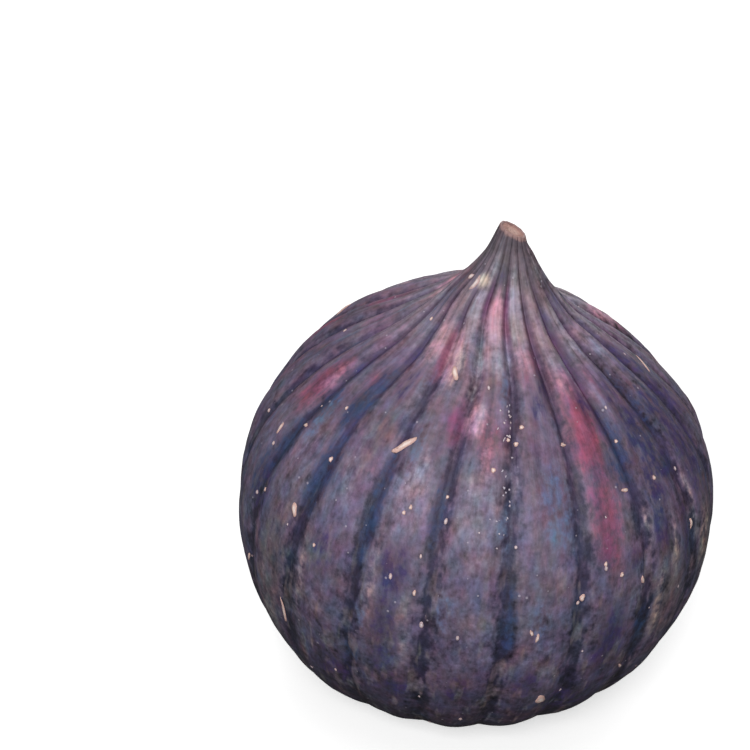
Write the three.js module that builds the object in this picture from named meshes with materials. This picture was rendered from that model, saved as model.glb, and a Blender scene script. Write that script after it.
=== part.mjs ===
// A whole fresh fig standing on its base: one body with a ribbed skin, a neck drawn out
// to a cut stalk, and the eye in the middle of the underside.
// The skin is a curved outline turned about the fig's axis, and every rib, groove and
// scale is raised from it or sunk into it by a formula.
import * as THREE from 'three';

// Main sizes in millimetres, angles in degrees
const FIG_RADIUS = 28.6; // over the rib crests at the widest place
const WIDEST_HEIGHT = 24; // of the widest place above the base
const FIG_HEIGHT = 60; // base to the middle of the cut stalk
const STALK_RADIUS = 1.55; // at the cut
const LEAN = 5.5; // of the axis, to the right
const LEVEL_TILT = 4.5; // of the level lines round the fig, down to the right
const LEAN_HEIGHT = 18; // over which the axis bends from upright into its lean
const CENTRING_SHIFT = -1.5; // along X, puts the origin under the middle of the fig

// Outline of the shoulder and the neck
const NECK_ROOT_RADIUS = 9.2; // where the round shoulder turns up into the neck
const NECK_ROOT_HEIGHT = 49.75;
const SHOULDER_SLOPE = 28; // of the skin below level at the neck root
const BELLY_SLOPE = 7; // of the underside above level at the edge of its flat
const BELLY_REACH = 9.6; // pull of the belly curve out from that edge
const BELLY_FULLNESS = 14.4; // pull of the belly curve below the widest place
const SHOULDER_FULLNESS = 12.3; // pull of the shoulder curve above the widest place
const SHOULDER_REACH = 12.3; // pull of the shoulder curve out from the neck root
const NECK_REACH = 2.7; // pull of the neck curve in from the neck root
const STALK_LENGTH = 4.8; // pull of the neck curve down from the cut
const STALK_FLARE = 1.6; // widening of the stalk over that length, downwards

// Underside: a flat ring to stand on, round the dimple of the eye
const REST_INNER_RADIUS = 6.5;
const REST_OUTER_RADIUS = 10;
const EYE_DEPTH = 1.4;
const EYE_SCALES = 10;
const EYE_LIP_RADIUS = 2.7; // of the ring of scales that closes the eye
const EYE_LIP_WIDTH = 0.8;
const EYE_LIP_HEIGHT = 0.65;
const EYE_SCALE_RELIEF = 0.35; // how far the lip sinks between two scales, as a share
const EYE_CORE_RADIUS = 0.6; // first row of points round the middle

// Cut end of the stalk
const CUT_SLANT = 24; // falls to the right
const CUT_SLANT_LENGTH = 3; // of stalk over which the slant begins
const CUT_RIM_RADIUS = 0.75; // inner edge of the rim, as a share of the stalk
const CUT_DISH = 0.15; // depth of the pith below the rim

// Ribs
const RIBS = 20;
const FIRST_GROOVE = 4; // degrees round from the front
const BODY_GROOVE_DEPTH = 0.5;
const NECK_GROOVE_DEPTH = 1;
const GROOVE_RADIUS_SHARE = 0.09; // a groove is never deeper than this share of the radius
const GROOVE_SHARPNESS = 1.5;
const GROOVE_FADE_HEIGHT = 9; // the grooves die out below this height
const NECK_CREASE_START = 34; // from here up some ribs split in two
const NECK_CREASE_END = 47;
const NECK_CREASE_SHARE = 0.35; // depth of such a crease beside a groove's
const NECK_TURN = -6.5; // degrees that the ribs have turned by on the neck, to the left in front
const NECK_SPREAD = 16; // degrees that a rib at the side has moved there, away from the front
const NECK_SPREAD_START = 47.5; // height from which the ribs turn and spread
const NECK_SPREAD_END = 53.5;

// Natural unevenness round the fig. Each wave has an amount, a number of waves in one turn
// and the angle, in radians, by which it is ahead.
const RIB_DEPTH_WAVES = [{ amount: 0.2, waves: 3, ahead: 1 }]; // share of a groove's depth
const RIB_DEPTH_MEAN = 0.8;
const SPLIT_WAVES = [{ amount: 0.5, waves: 7, ahead: 2 }]; // share of a crease's depth
const SPLIT_MEAN = 0.5;
const RIB_WIDTH_WAVES = [
  { amount: 0.07, waves: 2, ahead: 0.7 },
  { amount: 0.035, waves: 5, ahead: 2 },
]; // radians that a rib is moved by, at the back
const SWELLING_WAVES = [
  { amount: 0.3, waves: 2, ahead: 1 },
  { amount: 0.18, waves: 3, ahead: 4 },
]; // millimetres out of round, at the back
const WANDER = 0.012; // radians that a rib strays to each side on its way up
const WANDER_HEIGHT = 7; // over which it strays by a radian of its wave
const WANDER_WAVES = 3; // round the fig

// Points round the fig, fewer where it is narrow
const WIDE_COLUMNS = 160;
const NARROW_COLUMNS = 80;
const TIP_COLUMNS = 40;
const NARROW_BELOW_RADIUS = 7;
const TIP_BELOW_RADIUS = 2.6;

// Points up the outline
const EYE_ROWS = 7;
const BELLY_ROWS = 9;
const SHOULDER_ROWS = 9;
const NECK_ROWS = 9;

const radians = THREE.MathUtils.degToRad;
const smoothstep = THREE.MathUtils.smoothstep;
const point = (radius, height) => new THREE.Vector2(radius, height);

// Outline curves in the plane of radius and height, from the resting ring up to the cut
function outlineCurves() {
  const direction = (degrees) => point(Math.cos(radians(degrees)), Math.sin(radians(degrees)));
  const outward = direction(-SHOULDER_SLOPE);
  const ringEdge = point(REST_OUTER_RADIUS, 0);
  const widest = point(FIG_RADIUS, WIDEST_HEIGHT);
  const neckRoot = point(NECK_ROOT_RADIUS, NECK_ROOT_HEIGHT);
  const cutEdge = point(STALK_RADIUS, FIG_HEIGHT);
  const belly = new THREE.CubicBezierCurve(
    ringEdge,
    ringEdge.clone().addScaledVector(direction(BELLY_SLOPE), BELLY_REACH),
    point(FIG_RADIUS, WIDEST_HEIGHT - BELLY_FULLNESS),
    widest,
  );
  const shoulder = new THREE.CubicBezierCurve(
    widest,
    point(FIG_RADIUS, WIDEST_HEIGHT + SHOULDER_FULLNESS),
    neckRoot.clone().addScaledVector(outward, SHOULDER_REACH),
    neckRoot,
  );
  const neck = new THREE.CubicBezierCurve(
    neckRoot,
    neckRoot.clone().addScaledVector(outward, -NECK_REACH),
    point(STALK_RADIUS + STALK_FLARE, FIG_HEIGHT - STALK_LENGTH),
    cutEdge,
  );
  return { belly, shoulder, neck };
}

// One level line of the skin: its radius and height, its outward normal in the outline's
// plane, and how many points go round it
function row(radius, height, normal) {
  let columns = WIDE_COLUMNS;
  if (radius < NARROW_BELOW_RADIUS) columns = NARROW_COLUMNS;
  if (radius < TIP_BELOW_RADIUS) columns = TIP_COLUMNS;
  return { radius, height, normal, columns };
}

// Rows along a curve, evenly spaced, without the curve's first point
function rowsAlong(curve, count) {
  const rows = [];
  for (let i = 1; i <= count; i++) {
    const spot = curve.getPointAt(i / count);
    const along = curve.getTangentAt(i / count);
    rows.push(row(spot.x, spot.y, point(along.y, -along.x)));
  }
  return rows;
}

// Height of the eye's dimple over the base, with its lip of scales hanging into it
function eyeHeight(radius, angle) {
  const dimple = EYE_DEPTH * (1 - smoothstep(radius, 0, REST_INNER_RADIUS));
  const lip = Math.exp(-(((radius - EYE_LIP_RADIUS) / EYE_LIP_WIDTH) ** 2));
  const scales = 1 - EYE_SCALE_RELIEF * (1 - Math.cos(EYE_SCALES * angle));
  return dimple - EYE_LIP_HEIGHT * lip * scales;
}

// Rows of the eye, from its core out to the inner edge of the resting ring
function eyeRows() {
  const rows = [];
  for (let i = 0; i < EYE_ROWS; i++) {
    const radius = THREE.MathUtils.lerp(EYE_CORE_RADIUS, REST_INNER_RADIUS, i / EYE_ROWS);
    rows.push({ ...row(radius, 0, point(0, -1)), eye: true });
  }
  return rows;
}

// Sum of some waves of unevenness at an angle round the fig
function unevenness(waves, angle) {
  return waves.reduce((sum, wave) => sum + wave.amount * Math.sin(wave.waves * angle + wave.ahead), 0);
}

// Depth of a groove at a number of ribs round: 1 along the groove, 0 on the crest
function grooveShape(turns) {
  return (1 - Math.abs(Math.sin(Math.PI * turns))) ** GROOVE_SHARPNESS;
}

// How far the skin lies below the rib crests
function grooveDepth(radius, height, angle) {
  const turns = (RIBS * angle) / (2 * Math.PI);
  const up = smoothstep(height, WIDEST_HEIGHT, NECK_ROOT_HEIGHT);
  const deepest = THREE.MathUtils.lerp(BODY_GROOVE_DEPTH, NECK_GROOVE_DEPTH, up);
  const depth = Math.min(deepest, GROOVE_RADIUS_SHARE * radius);
  const groove = RIB_DEPTH_MEAN + unevenness(RIB_DEPTH_WAVES, angle);
  const split = SPLIT_MEAN + unevenness(SPLIT_WAVES, angle);
  const crease = NECK_CREASE_SHARE * split * smoothstep(height, NECK_CREASE_START, NECK_CREASE_END);
  const fade = smoothstep(height, 0, GROOVE_FADE_HEIGHT);
  return fade * depth * (groove * grooveShape(turns) + crease * grooveShape(turns + 0.5));
}

// How far round to the back an angle is: 0 at the front, where the ribs are even, 1 behind
function backness(angle) {
  return (1 - Math.cos(angle)) / 2;
}

// How far the skin swells out or sinks in over a broad patch, most at half height
function swelling(height, angle) {
  const atHalfHeight = Math.sin((Math.PI * height) / FIG_HEIGHT);
  return backness(angle) * unevenness(SWELLING_WAVES, angle) * atHalfHeight;
}

// Direction round the fig of an even angle, so that the ribs are not all one width
function unevenAngle(angle, height) {
  const spread = backness(angle) * unevenness(RIB_WIDTH_WAVES, angle);
  const wander = WANDER * Math.sin(height / WANDER_HEIGHT + WANDER_WAVES * angle);
  const onNeck = smoothstep(height, NECK_SPREAD_START, NECK_SPREAD_END);
  const neckShift = onNeck * radians(NECK_TURN + NECK_SPREAD * Math.sin(angle));
  return angle + radians(FIRST_GROOVE) + spread + wander + neckShift;
}

// Point of the leaning fig at a radius and height, on the side that an angle gives.
// Angle 0 is the front, towards -Y, and it grows towards +X.
function place(radius, height, angle) {
  const bent = THREE.MathUtils.clamp(height / LEAN_HEIGHT, 0, 1);
  const tilt = radians(LEVEL_TILT) * smoothstep(bent, 0, 1);
  const bend = LEAN_HEIGHT * (bent ** 3 - bent ** 4 / 2);
  const axisShift = radians(LEAN) * (bend + Math.max(0, height - LEAN_HEIGHT));
  const across = radius * Math.sin(angle);
  return new THREE.Vector3(
    CENTRING_SHIFT + axisShift + across * Math.cos(tilt),
    -radius * Math.cos(angle),
    height - across * Math.sin(tilt),
  );
}

// Point of the skin on a row
function skinPoint(level, angle) {
  const direction = unevenAngle(angle, level.height);
  if (level.eye) return place(level.radius, eyeHeight(level.radius, direction), direction);
  const grooves = level.cut ? 0 : grooveDepth(level.radius, level.height, angle);
  const depth = grooves - swelling(level.height, angle);
  const radius = level.radius - depth * level.normal.x;
  const slantStart = FIG_HEIGHT - CUT_SLANT_LENGTH;
  const slant = Math.tan(radians(CUT_SLANT)) * smoothstep(level.height, slantStart, FIG_HEIGHT);
  const fall = slant * radius * Math.sin(direction);
  return place(radius, level.height - depth * level.normal.y - fall, direction);
}

// All rows of the skin, from the eye's core to the rim of the cut
function skinRows() {
  const { belly, shoulder, neck } = outlineCurves();
  const down = point(0, -1);
  const rim = row(STALK_RADIUS * CUT_RIM_RADIUS, FIG_HEIGHT, point(0, 1));
  return [
    ...eyeRows(),
    { ...row(REST_INNER_RADIUS, 0, down), columns: NARROW_COLUMNS },
    { ...row(REST_OUTER_RADIUS, 0, down), columns: NARROW_COLUMNS },
    ...rowsAlong(belly, BELLY_ROWS),
    ...rowsAlong(shoulder, SHOULDER_ROWS),
    ...rowsAlong(neck, NECK_ROWS),
    { ...rim, cut: true },
  ];
}

// Triangles between two rings of points, which may have different numbers of points
function joinRings(lower, upper, indices) {
  let i = 0;
  let j = 0;
  while (i < lower.count || j < upper.count) {
    const a = lower.start + (i % lower.count);
    const b = upper.start + (j % upper.count);
    const alongLower = (i + 1) / lower.count <= (j + 1) / upper.count;
    if (alongLower && i < lower.count) {
      i += 1;
      indices.push(a, lower.start + (i % lower.count), b);
    } else {
      j += 1;
      indices.push(a, upper.start + (j % upper.count), b);
    }
  }
}

// Triangles that close a ring with a single point
function closeRing(ring, pole, facingUp, indices) {
  for (let i = 0; i < ring.count; i++) {
    const a = ring.start + i;
    const b = ring.start + ((i + 1) % ring.count);
    if (facingUp) indices.push(a, b, pole);
    else indices.push(b, a, pole);
  }
}

// The whole skin as one closed surface
function figGeometry() {
  const positions = [];
  const indices = [];
  const add = (p) => positions.push(p.x, p.y, p.z);
  add(place(0, eyeHeight(0, 0), 0));
  const rings = skinRows().map((level) => {
    const start = positions.length / 3;
    for (let i = 0; i < level.columns; i++) {
      add(skinPoint(level, (2 * Math.PI * i) / level.columns));
    }
    return { start, count: level.columns };
  });
  closeRing(rings[0], 0, false, indices);
  for (let i = 1; i < rings.length; i++) joinRings(rings[i - 1], rings[i], indices);
  const top = positions.length / 3;
  add(place(0, FIG_HEIGHT - CUT_DISH, 0));
  closeRing(rings[rings.length - 1], top, true, indices);
  const geometry = new THREE.BufferGeometry();
  geometry.setAttribute('position', new THREE.Float32BufferAttribute(positions, 3));
  geometry.setIndex(indices);
  geometry.computeVertexNormals();
  return geometry;
}

const skin = new THREE.MeshStandardMaterial({ color: 0x4b4459, roughness: 0.55, metalness: 0 });
const fig = new THREE.Mesh(figGeometry(), skin);
fig.name = 'fig';

const part = new THREE.Group();
part.name = 'fresh_fig';
part.add(fig);

export default part;
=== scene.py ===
"""The looks of a whole fresh fig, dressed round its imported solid.

The skin is the solid's own form at a finer pitch, with fibres and creases raised in the
mesh. The cut of the stalk, the scales of the eye and the pale marks of the skin are pieces
of their own. Sizes are millimetres and degrees until a mesh is made, which is in metres.
"""

import logging
import math
from dataclasses import dataclass
from enum import Enum

import bpy
import numpy as np
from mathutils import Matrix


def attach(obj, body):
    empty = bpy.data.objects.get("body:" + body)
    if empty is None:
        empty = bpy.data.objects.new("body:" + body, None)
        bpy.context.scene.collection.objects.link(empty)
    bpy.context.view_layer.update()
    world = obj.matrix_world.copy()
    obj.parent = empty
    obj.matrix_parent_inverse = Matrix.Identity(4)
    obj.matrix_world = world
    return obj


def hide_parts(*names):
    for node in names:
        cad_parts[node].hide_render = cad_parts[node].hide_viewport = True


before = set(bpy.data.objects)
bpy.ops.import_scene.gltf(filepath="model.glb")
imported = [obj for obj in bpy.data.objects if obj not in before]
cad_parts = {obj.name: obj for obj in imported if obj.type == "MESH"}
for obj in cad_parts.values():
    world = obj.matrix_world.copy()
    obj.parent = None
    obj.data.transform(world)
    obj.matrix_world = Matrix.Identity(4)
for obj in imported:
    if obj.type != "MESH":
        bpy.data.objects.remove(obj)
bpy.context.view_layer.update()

MM = 0.001
BODY = "root"
FIG_NODE = "fig"

Socket = bpy.types.NodeSocket
Face = tuple[int, ...]
Range = tuple[float, ...]

log = logging.getLogger("fig")


def smoothstep(value: np.ndarray, low: float, high: float) -> np.ndarray:
    """Rises smoothly from 0 at low to 1 at high.

    Args:
        value: numbers to look at.
        low: where the rise begins.
        high: where it ends.

    Returns:
        The share of the rise at each number.
    """
    share = np.clip((value - low) / (high - low), 0.0, 1.0)
    return share * share * (3.0 - 2.0 * share)


def paint(code: str) -> tuple[float, float, float, float]:
    """Turns a colour as it shows on a screen, such as 5c5468, into linear light.

    Args:
        code: six hexadecimal digits, red, green and blue.

    Returns:
        Linear red, green, blue and an alpha of 1.
    """
    shown = [int(code[i : i + 2], 16) / 255.0 for i in (0, 2, 4)]
    linear = [c / 12.92 if c <= 0.04045 else ((c + 0.055) / 1.055) ** 2.4 for c in shown]
    return (linear[0], linear[1], linear[2], 1.0)


@dataclass(frozen=True)
class Wave:
    """One wave of natural unevenness round the fig.

    Attributes:
        amount: its height, in the unit of what it changes.
        waves: how many go round the fig.
        ahead: radians by which it is ahead.
    """

    amount: float
    waves: int
    ahead: float


def unevenness(waves: tuple[Wave, ...], angle: np.ndarray) -> np.ndarray:
    """Adds up waves of unevenness.

    Args:
        waves: the waves.
        angle: radians round the fig.

    Returns:
        Their sum at each angle.
    """
    return sum(w.amount * np.sin(w.waves * angle + w.ahead) for w in waves)


@dataclass(frozen=True)
class RoundNoise:
    """Smooth random relief over the skin that closes on itself round the fig.

    Attributes:
        cells_round: cells in one turn.
        cell_length: length of a cell up the skin.
        seed: of the random values.
    """

    cells_round: int
    cell_length: float
    seed: int
    cells_up: int = 128

    def at(self, angle: np.ndarray, reach: np.ndarray) -> np.ndarray:
        """Gives the relief at places on the skin.

        Args:
            angle: radians round the fig.
            reach: distance up the skin.

        Returns:
            Values from -1 to 1.
        """
        values = np.random.default_rng(self.seed).uniform(-1.0, 1.0, (self.cells_round, self.cells_up))
        across = (angle / (2.0 * np.pi) % 1.0) * self.cells_round
        along = reach / self.cell_length + self.cells_up / 2
        column, line = np.floor(across).astype(int), np.floor(along).astype(int)
        fx, fy = across - column, along - line
        fx, fy = fx * fx * (3.0 - 2.0 * fx), fy * fy * (3.0 - 2.0 * fy)

        def corner(i: int, j: int) -> np.ndarray:
            """Random value at a corner of each cell."""
            return values[(column + i) % self.cells_round, (line + j) % self.cells_up]

        low = corner(0, 0) * (1.0 - fx) + corner(1, 0) * fx
        high = corner(0, 1) * (1.0 - fx) + corner(1, 1) * fx
        return low * (1.0 - fy) + high * fy


@dataclass(frozen=True)
class FigForm:
    """The fig's form, by the same sizes and rules as its solid.

    Attributes are named as in the solid's source. The reach of a place on the skin is its
    distance along the outline from the outer edge of the resting ring; it is negative
    on the ring and in the eye, where it falls with the radius.
    """

    fig_radius: float = 28.6
    widest_height: float = 24.0
    fig_height: float = 60.0
    stalk_radius: float = 1.55
    lean: float = 5.5
    level_tilt: float = 4.5
    lean_height: float = 18.0
    centring_shift: float = -1.5
    neck_root_radius: float = 9.2
    neck_root_height: float = 49.75
    shoulder_slope: float = 28.0
    belly_slope: float = 7.0
    belly_reach: float = 9.6
    belly_fullness: float = 14.4
    shoulder_fullness: float = 12.3
    shoulder_reach: float = 12.3
    neck_reach: float = 2.7
    stalk_length: float = 4.8
    stalk_flare: float = 1.6
    rest_inner_radius: float = 6.5
    rest_outer_radius: float = 10.0
    eye_depth: float = 1.4
    eye_scales: int = 10
    eye_lip_radius: float = 2.7
    eye_lip_width: float = 0.8
    eye_lip_height: float = 0.65
    eye_scale_relief: float = 0.35
    cut_slant: float = 24.0
    cut_slant_length: float = 3.0
    cut_dish: float = 0.15
    ribs: int = 20
    first_groove: float = 4.0
    body_groove_depth: float = 0.5
    neck_groove_depth: float = 1.0
    groove_radius_share: float = 0.09
    groove_sharpness: float = 1.5
    groove_fade_height: float = 9.0
    neck_crease_start: float = 34.0
    neck_crease_end: float = 47.0
    neck_crease_share: float = 0.35
    neck_turn: float = -6.5
    neck_spread: float = 16.0
    neck_spread_start: float = 47.5
    neck_spread_end: float = 53.5
    rib_depth_mean: float = 0.8
    rib_depth_waves: tuple[Wave, ...] = (Wave(0.2, 3, 1.0),)
    split_mean: float = 0.5
    split_waves: tuple[Wave, ...] = (Wave(0.5, 7, 2.0),)
    rib_width_waves: tuple[Wave, ...] = (Wave(0.07, 2, 0.7), Wave(0.035, 5, 2.0))
    swelling_waves: tuple[Wave, ...] = (Wave(0.3, 2, 1.0), Wave(0.18, 3, 4.0))
    wander: float = 0.012
    wander_height: float = 7.0
    wander_waves: int = 3
    outline_steps: int = 1500

    def outline(self) -> dict[str, np.ndarray]:
        """Follows the outline from the resting ring to the edge of the cut.

        Returns:
            Arrays of reach, radius, height and the outward normal's two parts.
        """

        def direction(degrees: float) -> np.ndarray:
            """Unit vector in the plane of radius and height."""
            return np.array([math.cos(math.radians(degrees)), math.sin(math.radians(degrees))])

        outward = direction(-self.shoulder_slope)
        ring = np.array([self.rest_outer_radius, 0.0])
        widest = np.array([self.fig_radius, self.widest_height])
        root = np.array([self.neck_root_radius, self.neck_root_height])
        cut = np.array([self.stalk_radius, self.fig_height])
        curves = (
            (ring, ring + self.belly_reach * direction(self.belly_slope),
             widest - np.array([0.0, self.belly_fullness]), widest),
            (widest, widest + np.array([0.0, self.shoulder_fullness]),
             root + self.shoulder_reach * outward, root),
            (root, root - self.neck_reach * outward,
             cut + np.array([self.stalk_flare, -self.stalk_length]), cut),
        )
        share = np.linspace(0.0, 1.0, self.outline_steps)[:, None]
        back = 1.0 - share
        spots, tangents = [], []
        for a, b, c, d in curves:
            spots.append(back**3 * a + 3 * back**2 * share * b + 3 * back * share**2 * c + share**3 * d)
            tangents.append(back**2 * (b - a) + 2 * back * share * (c - b) + share**2 * (d - c))
        spot, tangent = np.concatenate(spots), np.concatenate(tangents)
        tangent = tangent / np.linalg.norm(tangent, axis=1)[:, None]
        steps = np.linalg.norm(np.diff(spot, axis=0), axis=1)
        reach = np.concatenate([[0.0], np.cumsum(steps)])
        return {"reach": reach, "radius": spot[:, 0], "height": spot[:, 1],
                "normal_out": tangent[:, 1], "normal_up": -tangent[:, 0]}

    def eye_height(self, radius: np.ndarray, angle: np.ndarray) -> np.ndarray:
        """Gives the height of the eye's dimple, with its lip of scales hanging into it.

        Args:
            radius: distance from the fig's axis.
            angle: radians round the fig.

        Returns:
            Height over the base.
        """
        dimple = self.eye_depth * (1.0 - smoothstep(radius, 0.0, self.rest_inner_radius))
        lip = np.exp(-(((radius - self.eye_lip_radius) / self.eye_lip_width) ** 2))
        scales = 1.0 - self.eye_scale_relief * (1.0 - np.cos(self.eye_scales * angle))
        return dimple - self.eye_lip_height * lip * scales

    def groove_shape(self, turns: np.ndarray) -> np.ndarray:
        """Gives 1 along a groove and 0 on a crest, at a number of ribs round."""
        return (1.0 - np.abs(np.sin(np.pi * turns))) ** self.groove_sharpness

    def groove_depth(self, radius: np.ndarray, height: np.ndarray, angle: np.ndarray) -> np.ndarray:
        """Gives how far the skin lies below the rib crests.

        Args:
            radius: of the outline.
            height: of the outline.
            angle: even radians round the fig.

        Returns:
            The depth.
        """
        turns = self.ribs * angle / (2.0 * np.pi)
        up = smoothstep(height, self.widest_height, self.neck_root_height)
        deepest = self.body_groove_depth + (self.neck_groove_depth - self.body_groove_depth) * up
        depth = np.minimum(deepest, self.groove_radius_share * radius)
        groove = self.rib_depth_mean + unevenness(self.rib_depth_waves, angle)
        split = self.split_mean + unevenness(self.split_waves, angle)
        rise = smoothstep(height, self.neck_crease_start, self.neck_crease_end)
        crease = self.neck_crease_share * split * rise
        fade = smoothstep(height, 0.0, self.groove_fade_height)
        shape = groove * self.groove_shape(turns) + crease * self.groove_shape(turns + 0.5)
        return fade * depth * shape

    def backness(self, angle: np.ndarray) -> np.ndarray:
        """Gives 0 at the front, which the photograph shows, and 1 at the back."""
        return (1.0 - np.cos(angle)) / 2.0

    def swelling(self, height: np.ndarray, angle: np.ndarray) -> np.ndarray:
        """Gives how far the skin swells out over a broad patch, at the back."""
        swell = self.backness(angle) * unevenness(self.swelling_waves, angle)
        return swell * np.sin(np.pi * height / self.fig_height)

    def uneven_angle(self, angle: np.ndarray, height: np.ndarray) -> np.ndarray:
        """Gives the direction of an even angle, so that the ribs are not all one width."""
        spread = self.backness(angle) * unevenness(self.rib_width_waves, angle)
        wander = self.wander * np.sin(height / self.wander_height + self.wander_waves * angle)
        on_neck = smoothstep(height, self.neck_spread_start, self.neck_spread_end)
        neck_shift = on_neck * np.radians(self.neck_turn + self.neck_spread * np.sin(angle))
        return angle + math.radians(self.first_groove) + spread + wander + neck_shift

    def place(self, radius: np.ndarray, height: np.ndarray, angle: np.ndarray) -> np.ndarray:
        """Gives the point of the leaning fig on the side that an angle gives.

        Args:
            radius: distance from the fig's axis.
            height: along the axis.
            angle: radians from the front, towards +X.

        Returns:
            Points in millimetres, three numbers on the last axis.
        """
        bent = np.clip(height / self.lean_height, 0.0, 1.0)
        tilt = math.radians(self.level_tilt) * smoothstep(bent, 0.0, 1.0)
        bend = self.lean_height * (bent**3 - bent**4 / 2.0)
        beyond = np.maximum(0.0, height - self.lean_height)
        across = radius * np.sin(angle)
        x = self.centring_shift + math.radians(self.lean) * (bend + beyond) + across * np.cos(tilt)
        return np.stack([x, -radius * np.cos(angle), height - across * np.sin(tilt)], -1)

    def axis_point(self, height: float) -> np.ndarray:
        """Gives the point of the leaning axis at a height."""
        return self.place(np.array(0.0), np.array(height), np.array(0.0))

    def cut_slope(self) -> float:
        """Gives how far the cut falls for each millimetre across."""
        return math.tan(math.radians(self.cut_slant))


@dataclass(frozen=True)
class SkinRelief:
    """Fine relief of the skin, over the form that the solid has.

    Each height is the most that its relief lifts or sinks the skin.
    """

    rib_swell: float = 0.16
    dent: float = 0.10
    crease: float = 0.045
    fibre: float = 0.022
    pucker: float = 0.035
    flat_until: float = 1.0
    full_from: float = 7.0
    narrow_radius: float = 9.0
    narrowest_share: float = 0.12
    broad_radius: float = 20.0
    ribs_noise: RoundNoise = RoundNoise(40, 9.0, 11)
    dent_noise: RoundNoise = RoundNoise(26, 5.0, 12)
    crease_noise: RoundNoise = RoundNoise(84, 7.0, 13)
    fibre_noise: RoundNoise = RoundNoise(210, 2.5, 14)
    pucker_noise: RoundNoise = RoundNoise(90, 1.3, 15)

    def at(self, angle: np.ndarray, reach: np.ndarray, radius: np.ndarray) -> np.ndarray:
        """Gives how far the fine relief lifts the skin.

        Args:
            angle: even radians round the fig.
            reach: up the skin.
            radius: of the outline there.

        Returns:
            Millimetres along the normal.
        """
        wide = np.clip(radius / self.broad_radius, 0.0, 1.0) ** 2
        rise = (
            self.rib_swell * self.ribs_noise.at(angle, reach)
            + self.dent * self.dent_noise.at(angle, reach)
            + self.crease * self.crease_noise.at(angle, reach) * wide
            + self.fibre * self.fibre_noise.at(angle, reach) * wide
            + self.pucker * self.pucker_noise.at(angle, reach)
        )
        room = np.clip(radius / self.narrow_radius, self.narrowest_share, 1.0)
        return rise * room * smoothstep(reach, self.flat_until, self.full_from)


class Surface:
    """The skin as a surface: any angle and reach give a point and a normal."""

    stalk_fade_length: float = 1.5

    def __init__(self, form: FigForm, relief: SkinRelief) -> None:
        """Keeps the form and relief, and measures the outline.

        Args:
            form: the fig's form.
            relief: the fine relief.
        """
        self.form = form
        self.relief = relief
        self.line = form.outline()
        self.length = float(self.line["reach"][-1])

    def point(self, angle: np.ndarray, reach: np.ndarray) -> np.ndarray:
        """Gives points of the skin.

        Args:
            angle: even radians round the fig, 0 at the first groove.
            reach: up the skin, negative inside the resting ring.

        Returns:
            Points in millimetres.
        """
        form, line = self.form, self.line
        angle, reach = np.broadcast_arrays(np.asarray(angle, float), np.asarray(reach, float))
        outline = {k: np.interp(reach, line["reach"], line[k]) for k in line}
        radius, height = outline["radius"], outline["height"]
        direction = form.uneven_angle(angle, height)
        depth = form.groove_depth(radius, height, angle) - form.swelling(height, angle)
        depth = depth - self.relief.at(angle, reach, radius) * self.stalk_fade(reach)
        out = radius - depth * outline["normal_out"]
        slant_start = form.fig_height - form.cut_slant_length
        slant = form.cut_slope() * smoothstep(height, slant_start, form.fig_height)
        up = height - depth * outline["normal_up"] - slant * out * np.sin(direction)
        under = np.maximum(0.0, form.rest_outer_radius + reach)
        eye = form.eye_height(under, direction)
        inside = reach < 0.0
        out = np.where(inside, under, out)
        up = np.where(inside, np.where(under < form.rest_inner_radius, eye, 0.0), up)
        return form.place(out, up, direction)

    def stalk_fade(self, reach: np.ndarray) -> np.ndarray:
        """Gives 1 on the skin and 0 at the edge of the cut, where the relief ends."""
        return 1.0 - smoothstep(reach, self.length - self.stalk_fade_length, self.length)

    def normal(self, angle: np.ndarray, reach: np.ndarray, step: float = 0.25) -> np.ndarray:
        """Gives outward normals, taken over a small step.

        Args:
            angle: even radians round the fig.
            reach: up the skin.
            step: millimetres to each side.

        Returns:
            Unit vectors.
        """
        turn = step / np.maximum(self.radius(reach), 1.0)
        along = self.point(angle, reach + step) - self.point(angle, reach - step)
        across = self.point(angle + turn, reach) - self.point(angle - turn, reach)
        normal = np.cross(across, along)
        return normal / np.linalg.norm(normal, axis=-1, keepdims=True)

    def radius(self, reach: np.ndarray) -> np.ndarray:
        """Gives the outline's radius at a reach."""
        return np.interp(reach, self.line["reach"], self.line["radius"])


class Tint(Enum):
    """Kinds of coloured patch on the skin: the attribute and the part of it that hold one."""

    RED = ("stain_warm", 0)
    PINK = ("stain_warm", 1)
    MAGENTA = ("stain_warm", 2)
    NAVY = ("stain_cool", 0)
    SKY = ("stain_cool", 1)
    VIOLET = ("stain_cool", 2)
    PALE = ("stain_bloom", 0)
    TAUPE = ("stain_bloom", 1)
    CREAM = ("stain_bloom", 2)


Patch = tuple[float, float, float, float, float]


@dataclass(frozen=True)
class Stain:
    """One soft patch of colour on the skin.

    Attributes:
        tint: what colour it is.
        round_at: degrees round the fig from the first groove to its middle.
        reach: up the skin to its middle.
        wide: degrees from its middle to its side.
        tall: millimetres from its middle to its end.
        strength: how strong it is, up to 1.
        full_until: share of the way out where it begins to fade.
        gone_from: share of the way out where it has faded away.
    """

    tint: Tint
    round_at: float
    reach: float
    wide: float
    tall: float
    strength: float
    full_until: float = 0.1
    gone_from: float = 1.75

    def at(self, degrees: np.ndarray, reach: np.ndarray) -> np.ndarray:
        """Gives the patch's strength at places on the skin."""
        up = reach - self.reach
        side = (degrees - self.round_at + 180.0) % 360.0 - 180.0
        away = np.sqrt((side / self.wide) ** 2 + (up / self.tall) ** 2)
        return self.strength * (1.0 - smoothstep(away, self.full_until, self.gone_from))


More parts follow.
